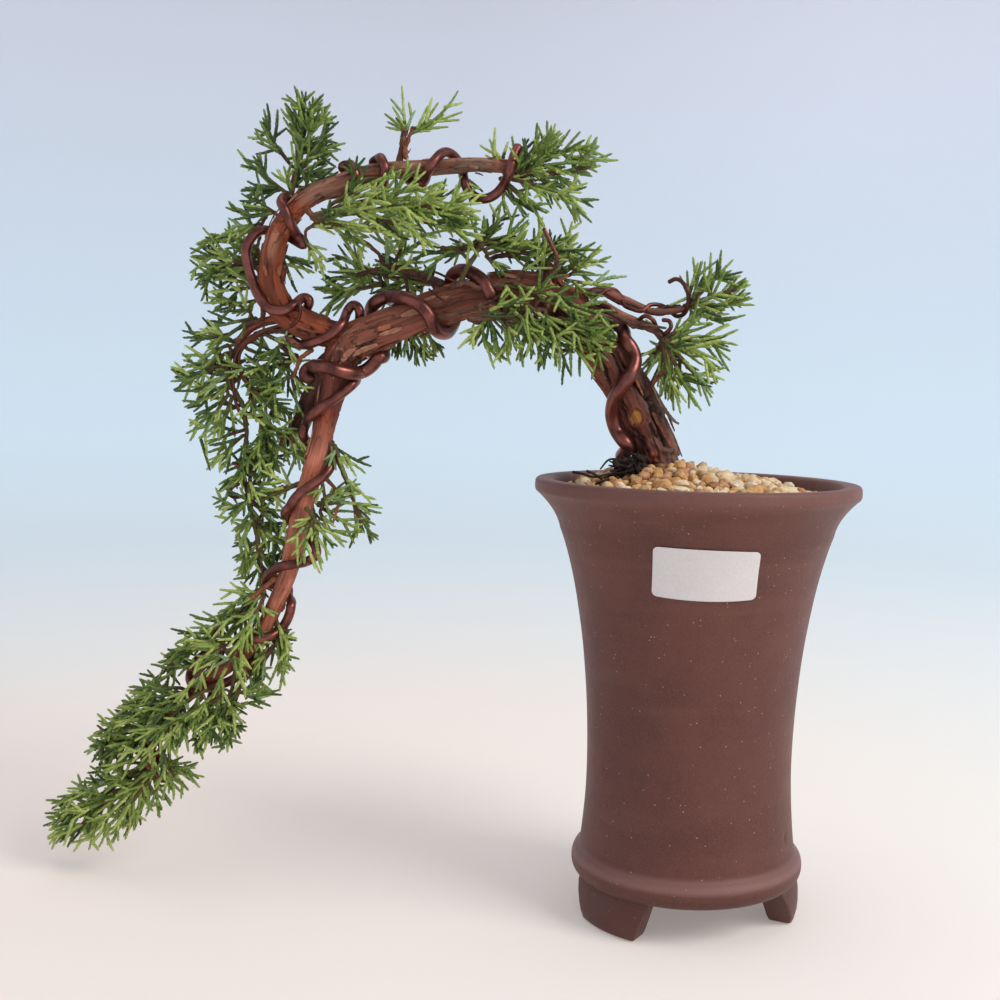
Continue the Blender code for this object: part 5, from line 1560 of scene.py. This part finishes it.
          ((230, 640, -2), (192, 644, 2)), ((228, 645, -4), (168, 650, 0)), ((222, 655, -8), (190, 686, -12)), ((215, 660, 2), (162, 668, 6)), ((225, 650, -8), (238, 676, -14)), ((232, 640, 6), (205, 625, 14)),
          ((262, 606, -6), (274, 616, -10)), ((255, 608, 6), (225, 612, 14)),
          ((236, 652, -13), (212, 696, -17)), ((226, 650, -13), (246, 692, -17)), ((206, 666, -13), (178, 704, -17)), ((222, 646, -12), (190, 668, -17))],
         ((238, 593), (245, 600), (237, 605), (225, 617), (215, 620), (211, 627), (206, 634), (274, 615), (266, 625), (256, 628), (249, 635), (260, 638), (248, 643), (242, 650), (233, 654),
          (201, 640), (193, 644), (187, 652), (178, 648), (168, 649), (161, 653), (162, 666), (159, 682), (240, 668), (237, 678), (203, 663), (192, 676)), "fresh", 13),
    )),
    ("foliage_tip", ("mass_lower_right", "mass_tip_upper", "mass_tip"), (
        ([((277, 622, -2), (291, 648, -4)), ((276, 622, 0), (283, 676, -2)), ((272, 628, 0), (262, 682, 0)), ((262, 640, 0), (248, 672, 2)), ((235, 690, -6), (264, 702, -8)), ((228, 700, -2), (246, 708, 0)),
          ((228, 704, -4), (242, 722, -6)), ((220, 700, -4), (232, 748, -6)), ((212, 700, -4), (210, 742, -8)), ((205, 705, -6), (196, 730, -12)), ((222, 690, -8), (214, 716, -14)), ((225, 695, 4), (236, 725, 10)),
          ((195, 715, -6), (197, 753, -8))],
         ((291, 647), (288, 651), (283, 657), (283, 675), (279, 690), (269, 685), (260, 682), (250, 657), (245, 668), (265, 701), (253, 695), (246, 699), (243, 709), (242, 721), (239, 732), (235, 734),
          (229, 746), (223, 749), (215, 744), (208, 741), (194, 732), (203, 731), (197, 753)), "mid", 12),
        ([((180, 688, 0), (134, 690, 2)), ((176, 694, 0), (138, 702, 0)), ((172, 700, 0), (120, 708, 4)), ((165, 705, -2), (110, 722, 0)), ((160, 715, -2), (96, 732, 0)), ((155, 725, -4), (90, 746, -2)),
          ((152, 735, -4), (100, 762, -6)), ((170, 700, -6), (148, 725, -12)), ((185, 700, -6), (170, 735, -12)), ((165, 705, 6), (130, 715, 14)), ((190, 690, -6), (165, 708, -12)), ((175, 720, -6), (178, 748, -10)),
          ((206, 690, -12), (150, 718, -17)), ((202, 698, -12), (165, 742, -17)), ((212, 702, -12), (176, 732, -17)), ((188, 700, -12), (140, 742, -16)), ((222, 688, -10), (196, 712, -16)),
          ((172, 720, -10), (142, 756, -15)), ((180, 716, -10), (160, 760, -15))],
         ((133, 686), (137, 692), (136, 701), (143, 681), (148, 680), (126, 704), (123, 710), (115, 710), (112, 722), (103, 723), (94, 733), (104, 732), (91, 746), (92, 762), (99, 765), (118, 755)), "mid", 14),
        ([((158, 752, -4), (105, 770, -8)), ((150, 765, 0), (80, 794, 0)), ((152, 770, -2), (66, 797, 2)), ((148, 775, -2), (48, 826, 0)), ((145, 780, -4), (60, 842, -4)), ((148, 782, -4), (90, 842, -8)),
          ((150, 780, -2), (112, 834, -6)), ((150, 780, 0), (134, 830, 0)), ((155, 778, 0), (158, 814, -2)), ((165, 765, -2), (195, 768, -4)), ((168, 768, -2), (188, 790, -6)), ((165, 770, 0), (172, 790, 0)),
          ((120, 797, -4), (72, 820, -12)), ((110, 800, 2), (64, 812, 8)), ((140, 778, 4), (100, 800, 14)), ((160, 750, -8), (140, 770, -14)), ((165, 755, -6), (165, 780, -14)), ((100, 812, -2), (52, 838, -4))],
         ((106, 775), (104, 778), (86, 778), (81, 782), (78, 793), (67, 796), (58, 811), (56, 815), (52, 819), (55, 831), (53, 838), (64, 845), (71, 843), (84, 841), (88, 839), (99, 847), (102, 831),
          (110, 835), (128, 833), (134, 829), (137, 817), (146, 816), (150, 810), (162, 800), (155, 789), (191, 762), (193, 773), (190, 780), (188, 789), (183, 794), (172, 789), (163, 782)), "fresh", 14),
    )),
)
# the solids of part.py: root, tip, half width, half depth, sag
MASSES = {
    "tuft_top_left": ((-197, 6, 325), (-183, 0, 376), 16.5, 15, 0), "sprig_top_left": ((-138, -8, 357), (-142, -10, 376), 6, 6, 0),
    "sprig_top_right": ((-135, -8, 358), (-112, -5, 374), 6, 7, -2), "tuft_upper_right": ((-91, -2, 339), (-45, 2, 346), 19, 16, 2),
    "spray_upper_front": ((-176, -25, 315), (-100, -20, 320), 13, 11, -3), "mass_rear_mid": ((-124, 20, 290), (-189, 26, 299), 16.5, 13, 0),
    "mass_under_arch": ((-148, 16, 273), (-130, 16, 251), 10.5, 9, 0), "spray_arch_top": ((-121, -1, 303), (-80, -4, 314), 9.5, 12, 0),
    "mass_crown_upper": ((-97, 2, 302), (-43, 2, 298), 14, 20, -4), "mass_crown_front": ((-105, -20, 272), (-38, -19, 266), 17, 11, -3),
    "mass_crown_rear": ((-108, 23, 282), (-46, 22, 272), 14, 12, -3), "tuft_right_upper": ((-9, 0, 281), (20, -2, 291), 15.5, 13, 0),
    "tuft_right_lower": ((-23, -8, 270), (9, -10, 238), 17, 14, 0), "mass_left_upper": ((-203, 12, 299), (-247, 12, 294), 25, 16, 0),
    "mass_left_hanging_upper": ((-193, 10, 254), (-252, 8, 238), 22, 17, 3), "mass_left_hanging_lower": ((-203, 9, 232), (-219, 6, 187), 20, 14, 0),
    "mass_left_trailing": ((-217, 4, 196), (-203, 0, 135), 14, 12, -4), "spray_right_cascade": ((-172, -3, 214), (-153, -4, 166), 11, 10, 0),
    "spray_front_cascade": ((-169, -15, 180), (-183, -15, 155), 8.5, 6, 0), "spray_rear_cascade": ((-186, 16, 199), (-198, 14, 153), 8.5, 8, 0),
    "mass_lower_left": ((-207, 6, 140), (-267, 6, 93), 14, 13, 2), "mass_lower_right": ((-193, -1, 123), (-239, 1, 62), 12.5, 12, -3),
    "mass_tip_upper": ((-250, 5, 89), (-294, 4, 50), 15.5, 13, 4), "mass_tip": ((-254, 2, 56), (-316, 2, 17), 17, 14, -2),
}


# where the shoots are longer, sparser or single
STYLE = {
    "tuft_top_left": {"reach": 1.10, "dense": 0.92}, "tuft_upper_right": {"reach": 1.12, "dense": 0.92},
    "sprig_top_left": {"plain": True}, "sprig_top_right": {"plain": True},
    "spray_upper_front": {"dense": 0.80}, "spray_arch_top": {"reach": 1.15, "dense": 0.70},
    "tuft_right_upper": {"reach": 1.15, "dense": 0.46, "single": 0.7, "wide": -3}, "tuft_right_lower": {"reach": 1.45, "dense": 0.40, "single": 0.85, "wide": -6},
    "mass_crown_upper": {"reach": 1.12, "dense": 0.66, "single": 0.6}, "mass_crown_front": {"reach": 1.15, "dense": 0.66, "single": 0.6},
    "mass_rear_mid": {"dense": 0.80}, "mass_left_upper": {"reach": 0.98, "dense": 0.58, "wide": 4, "single": 0.45},
    "mass_left_hanging_upper": {"reach": 0.90, "dense": 0.90, "wide": 7}, "mass_left_hanging_lower": {"reach": 0.88, "dense": 0.92, "wide": 7},
    "mass_left_trailing": {"reach": 0.85, "dense": 0.95, "wide": 7},
    "spray_right_cascade": {"reach": 0.80, "dense": 0.44, "spread": 0.7, "wide": 4}, "spray_front_cascade": {"reach": 0.66, "dense": 0.45, "spread": 0.42, "single": 0.9},
    "mass_lower_left": {"reach": 0.92, "dense": 0.76, "wide": 6}, "mass_lower_right": {"reach": 0.86, "dense": 0.92, "wide": 6},
    "mass_tip_upper": {"reach": 0.90, "dense": 1.00, "wide": 6}, "mass_tip": {"reach": 0.92, "dense": 0.76, "wide": 4, "single": 0.5},
}


def build_named_twigs(rnd):
    """The bare twigs that show: on the rear branch, down the left side, along the cascade."""
    def by_px(points, r0, r1, mat=0):
        twig([spot(*p) for p in points], r0, r1, rnd, mat)
    by_px([(442, 284, 5), (428, 278, 8), (412, 273, 11), (395, 268, 13), (378, 270, 15), (358, 275, 16)], 2.2, 1.3)
    by_px([(384, 268, 14), (380, 256, 15), (372, 248, 14), (360, 239, 13), (345, 236, 12)], 1.1, 0.7)
    by_px([(405, 276, 12), (406, 284, 9), (408, 293, 6)], 1.0, 0.8)
    by_px([(458, 286, -5), (464, 274, -6), (472, 260, -6), (480, 246, -5), (486, 240, -5)], 1.4, 1.0, 1)
    by_px([(470, 262, -6), (460, 252, -5), (448, 248, -3), (436, 247, -2), (417, 243, -2)], 1.0, 0.45, 1)
    by_px([(438, 318, -8), (452, 315, -9), (468, 310, -10), (485, 304, -10), (500, 296, -10)], 1.2, 0.8)
    by_px([(452, 287, -8), (466, 283, -9), (480, 288, -10), (500, 284, -10), (520, 280, -8)], 1.3, 0.9)
    by_px([(535, 300, -2), (545, 290, -8), (556, 282, -10), (568, 275, -8)], 1.3, 0.9, 2)
    by_px([(262, 300, -4), (262, 318, 0), (250, 322, 2), (240, 328, 3), (228, 335, 4)], 1.4, 0.9)
    by_px([(318, 222, -14), (328, 216, -17), (345, 213, -20), (362, 214, -21)], 1.5, 1.0, 2)
    by_px([(304, 205, -12), (312, 216, -13), (322, 224, -15), (332, 220, -18)], 1.8, 1.2, 2)
    by_px([(276, 578, -4), (266, 586, -5), (256, 595, -5), (246, 603, -4)], 1.6, 0.9, 2)
    by_px([(312, 350, -4), (302, 357, -2), (297, 367, 0), (293, 378, 2)], 1.3, 0.9, 2)
    by_px([(285, 330, -2), (268, 331, 2), (252, 338, 4), (240, 348, 5), (237, 360, 5), (243, 375, 5), (250, 388, 5)], 1.9, 1.3)
    by_px([(250, 388, 5), (262, 392, 5), (276, 402, 4), (290, 414, 3)], 1.2, 0.8, 1)
    by_px([(232, 352, 5), (228, 364, 5), (228, 380, 5), (236, 394, 5), (244, 408, 5), (246, 430, 4), (248, 455, 3), (250, 480, 2)], 1.5, 0.9, 1)
    by_px([(250, 480, 2), (248, 500, 0), (252, 520, 0), (258, 540, 1), (265, 560, 2), (272, 573, 2)], 1.0, 0.7, 1)
    by_px([(304, 480, -3), (290, 488, -2), (274, 494, -1), (260, 502, 0)], 1.2, 0.7, 1)
    by_px([(290, 414, 3), (290, 424, 2), (288, 434, 2)], 1.0, 0.8, 1)
    by_px([(322, 470, -3), (329, 482, -4), (335, 490, -4), (338, 503, -4), (332, 525, -5)], 1.1, 0.6, 2)
    by_px([(326, 436, -3), (334, 446, -4), (345, 455, -4)], 1.0, 0.7, 2)
    by_px([(318, 505, -3), (330, 503, -4), (345, 503, -4)], 1.3, 0.8, 1)
    by_px([(306, 508, -9), (313, 516, -11), (316, 522, -13)], 1.1, 0.9, 1)
    by_px([(272, 612, -1), (276, 620, 0), (277, 630, 0)], 1.4, 1.0, 2)
    by_px([(236, 660, -1), (234, 680, -3), (228, 700, -4), (222, 715, -5)], 1.3, 0.8, 1)
    # second strands beside the side branches
    by_px([(576, 300, 2), (592, 291, 4), (606, 294, 5), (618, 301, 5), (632, 307, 4), (648, 311, 3), (664, 308, 2), (680, 306, 1)], 1.5, 1.0)
    by_px([(578, 306, -2), (592, 306, -6), (606, 311, -9), (620, 318, -9), (634, 326, -10), (648, 329, -10), (662, 336, -9)], 1.5, 1.0)
    by_px([(626, 322, -8), (640, 325, -12), (654, 326, -12), (666, 328, -11)], 0.9, 0.6)
    by_px([(406, 158, -8), (405, 150, -8), (408, 140, -8), (412, 128, -8)], 1.2, 0.8, 2)
    for k in range(9):              # brown dead scales on the sprig's stem
        a = spot(405 + rnd.uniform(-1, 4), 158 - k * 3.4, -8)
        w = np.array([rnd.choice((-1, 1)) * rnd.uniform(0.5, 1), rnd.uniform(-0.8, 0.8), rnd.uniform(0.6, 1.2)])
        twig([a, a + w * 1.6, a + w * 2.8 + np.array([0, 0, 0.8])], 0.42, 0.2, None, 2, 5, 0.8, note=False)


def build_foliage():
    rnd = random.Random(2026)
    seed_wood()
    build_named_twigs(rnd)
    leaves = [leaf_material(*t) for t in LEAF_TONES]
    total = 0
    for name, nodes, tufts in CROWN:
        heap = Heap()
        for node, (leaders, tips, palette, fill) in zip(nodes, tufts):
            seed = sum(ord(c) * (i + 3) for i, c in enumerate(node))
            r = random.Random(seed)
            tuft(heap, leaders, tips, r, palette, **STYLE.get(node, {"dense": 0.92}))
            if fill:
                root, tip, wide, deep, sag = MASSES[node]
                # the filling in the depths of each mass takes the dark palette (mid under a bright mass): painted shade
                # inside the foliage
                body_fill(heap, root, tip, wide, deep, sag, random.Random(seed + 1), "dark" if palette != "bright" else "mid", fill, 0.35)
        print(name, "triangles", heap.tris)
        total += heap.tris
        keep(heap.build(name, leaves), "foliage", *nodes)
    twigs = [twig_material("twig_brown", srgb(78, 50, 40), srgb(112, 76, 60), srgb(150, 114, 94)),
             twig_material("twig_green_brown", srgb(80, 70, 40), srgb(104, 92, 50), srgb(134, 120, 74)),
             twig_material("twig_orange", srgb(122, 70, 44), srgb(156, 94, 60), srgb(194, 140, 102))]
    print("twigs triangles", TWIGS.tris, "all foliage", total)
    keep(TWIGS.build("fine_twigs", twigs), "bark")


# ================================================================ loose bark
def build_strips():
    rnd = random.Random(12)
    h = Heap()

    def strip(path, outward, width, thick=0.45, mat=0):
        path = smooth_path(path, 0.9)
        n = len(path)
        taper = np.sin(np.linspace(0.35, math.pi - 0.25, n)) ** 0.6
        t, e1, e2 = carried_frames(path)
        sides = 10
        a = 2 * np.pi * np.arange(sides) / sides
        away = outward - t * (t @ outward)[:, None]      # the ribbon's flat side faces away from the limb
        away /= np.linalg.norm(away, axis=1)[:, None] + 1e-9
        across = np.cross(t, away)
        w = width * taper * (1 + 0.18 * np.array([rnd.uniform(-1, 1) for _ in range(n)]))
        ring = path[:, None, :] + across[:, None, :] * (w[:, None] * np.cos(a)[None])[..., None] \
            + away[:, None, :] * (thick * (0.6 + 0.4 * taper)[:, None] * np.sin(a)[None] + 0.22 * w[:, None] * np.cos(a)[None] ** 2)[..., None]
        ends = np.stack([path[0], path[-1]])
        h.add(np.concatenate([ring.reshape(-1, 3), ends]), tube_faces(n, sides), mat)

    # the strip that lifts off the right side of the lower trunk, and the stub above it
    outward = np.array([0.75, -0.55, 0.3])
    strip([spot(651, 384, -10), spot(655, 391, -11), spot(660, 402, -12), spot(667, 413, -12), spot(674, 421, -12), spot(679, 424, -12)], outward, 1.35, 0.5, 0)
    strip([spot(650, 394, -9), spot(652, 386, -11), spot(656, 378, -12), spot(661, 373, -13), spot(666, 371, -13)], outward, 1.5, 0.5, 1)
    for line, u0, u1, count, lift in ((TRUNK, 0.6, 3.6, 30, 1.0), (TRUNK, 6.6, 11.4, 58, 0.9), (TRUNK, 11.4, 19.0, 16, 0.35), (UPPER, 1.6, 13.8, 54, 0.95)):
        for _ in range(count):
            u = rnd.uniform(u0, u1)
            q = line.at(u)[0]
            t, e1, e2 = (v[0] for v in line.frame(u))
            a = rnd.uniform(0, 2 * math.pi)
            ln = rnd.uniform(4.5, 13.0) * (0.6 + q[3] / 14)
            su = np.interp(u, line.us, line.len)
            pts = []
            turn = rnd.uniform(-0.25, 0.25)
            tip_lift = rnd.uniform(0.15, 1.0) * lift * (1 if rnd.random() < 0.8 else 1.8)
            for k in range(6):
                f = k / 5
                uu = float(np.interp(su + (f - 0.5) * ln, line.len, line.us))
                qq = line.at(uu)[0]
                tt, f1, f2 = (v[0] for v in line.frame(uu))
                aa = a + turn * f
                w = f1 * math.cos(aa) + f2 * math.sin(aa)
                pts.append(qq[:3] + w * (qq[3] * 1.02 + 0.15 + tip_lift * f ** 2.2))
            strip(np.array(pts), e1 * math.cos(a) + e2 * math.sin(a), rnd.uniform(0.5, 1.6) * (0.5 + q[3] / 16), 0.24, rnd.choice((0, 0, 1, 2)) if line is TRUNK and u < 5 else rnd.choice((1, 2, 3, 3) if (line is TRUNK and u < 12) or (line is UPPER and u > 7.5) else (1, 2, 2, 3)))
    mats = [twig_material("strip_grey", srgb(94, 70, 58), srgb(128, 100, 86), srgb(164, 138, 122)),
            twig_material("strip_brown", srgb(90, 50, 36), srgb(126, 72, 52), srgb(164, 112, 86)),
            twig_material("strip_orange", srgb(138, 76, 50), srgb(170, 100, 68), srgb(206, 152, 120)),
            twig_material("strip_pale", srgb(150, 98, 76), srgb(178, 126, 100), srgb(204, 160, 134))]
    print("strips", h.tris)
    keep(h.build("bark_strips", mats), "bark")


# ================================================================ stage and light
def build_stage():
    s = Shader("studio_paper")
    geo = s.node("ShaderNodeNewGeometry").outputs["Position"]
    sep = s.node("ShaderNodeSeparateXYZ")
    s.wire(geo, sep.inputs[0])
    out = s.math("SQRT", s.math("ADD", s.math("POWER", sep.outputs["X"], 2.0), s.math("POWER", sep.outputs["Y"], 2.0)))
    climb = s.math("DIVIDE", s.math("ADD", s.math("MULTIPLY", out, 0.5), sep.outputs["Z"]), 2.5)
    left = s.ramp(climb, (0.06, srgb(238, 222, 212)), (0.12, srgb(228, 225, 220)), (0.23, srgb(221, 229, 232)), (0.46, srgb(218, 233, 241)),
                  (0.66, srgb(212, 222, 231)), (0.94, srgb(206, 206, 214)), mode="LINEAR")
    right = s.ramp(climb, (0.06, srgb(233, 229, 222)), (0.12, srgb(228, 228, 225)), (0.23, srgb(222, 231, 234)), (0.46, srgb(220, 235, 243)),
                   (0.66, srgb(217, 227, 236)), (0.94, srgb(219, 219, 228)), mode="LINEAR")
    across = s.node("ShaderNodeMapRange")
    s.wire(sep.outputs["X"], across.inputs["Value"])
    across.inputs["From Min"].default_value = -0.45
    across.inputs["From Max"].default_value = 0.45
    grad = s.mix(across.outputs[0], left, right)
    wall = s.finish(grad, 0.95, None, Specular_IOR_Level=0.0)
    # The bowl, floor and wall, glows in its own gradient colour: painted light of the lit studio paper, warm near the
    # pot, pale blue farther out and up the wall, greyer at the top and a little different left and right; the glow also
    # lights the scene.
    s.wire(grad, s.bsdf.inputs["Emission Color"])
    s.bsdf.inputs["Emission Strength"].default_value = 0.26
    prof = [(0.0, 0.0), (0.3, 0.0), (0.8, 0.0), (1.2, 0.0), (1.45, 0.0)]
    for k in range(1, 17):
        a = k / 16 * math.pi / 2
        prof.append((1.45 + 0.95 * math.sin(a), 0.95 * (1 - math.cos(a))))
    prof += [(2.42, 1.4), (2.42, 2.2), (2.42, 3.2)]
    sides = 96
    ang = 2 * np.pi * np.arange(sides) / sides
    rows = [np.stack([r * np.sin(ang), -r * np.cos(ang), np.full(sides, z)], -1) for r, z in prof[1:]]
    v = np.concatenate(rows + [np.zeros((1, 3))]) / MM
    v[:, 0] -= ORIGIN[0] / MM
    v[:, 2] -= 0.06
    idx = np.arange(len(rows) * sides).reshape(len(rows), sides)
    quads = np.stack([idx[:-1], np.roll(idx[:-1], -1, 1), np.roll(idx[1:], -1, 1), idx[1:]], -1).reshape(-1, 4)
    fan = np.stack([np.full(sides, len(rows) * sides), np.roll(idx[0], -1), idx[0]], -1)
    ob = mesh_object("studio_bowl", v, [quads[:, ::-1], fan[:, ::-1]], [wall])


def area(name, at, aim, size, power, colour):
    data = bpy.data.lights.new(name, "AREA")
    data.shape = "RECTANGLE"
    data.size, data.size_y = size
    data.energy = power
    data.color = colour
    ob = bpy.data.objects.new(name, data)
    ob.location = at
    ob.rotation_euler = (Vector(aim) - Vector(at)).to_track_quat("-Z", "Y").to_euler()
    ob.visible_camera = False
    bpy.context.scene.collection.objects.link(ob)


def build_light():
    area("key_soft", (1.45, -0.65, 1.35), (0.0, 0.0, 0.18), (0.9, 0.9), 20.5, (1.0, 0.97, 0.93))
    area("top_soft", (-0.1, 0.1, 2.1), (0.0, 0.0, 0.2), (1.6, 1.6), 8.0, (1.0, 0.99, 0.97))
    area("fill_left", (-1.5, -1.2, 0.9), (-0.05, 0.0, 0.2), (1.2, 1.2), 0.7, (0.97, 0.98, 1.0))
    world = bpy.data.worlds.new("studio_air")
    world.use_nodes = True
    bg = world.node_tree.nodes["Background"]
    bg.inputs[0].default_value = (*srgb(226, 234, 242), 1.0)
    bg.inputs[1].default_value = 0.22
    bpy.context.scene.world = world
    view = bpy.context.scene.view_settings
    view.view_transform = "Standard"
    view.look = "None"
    view.exposure = 0.0
    view.gamma = 1.0


build_stage()
build_light()
build_pot()
build_label()
build_soil()
build_bark()
build_strips()
build_foliage()
build_wires()
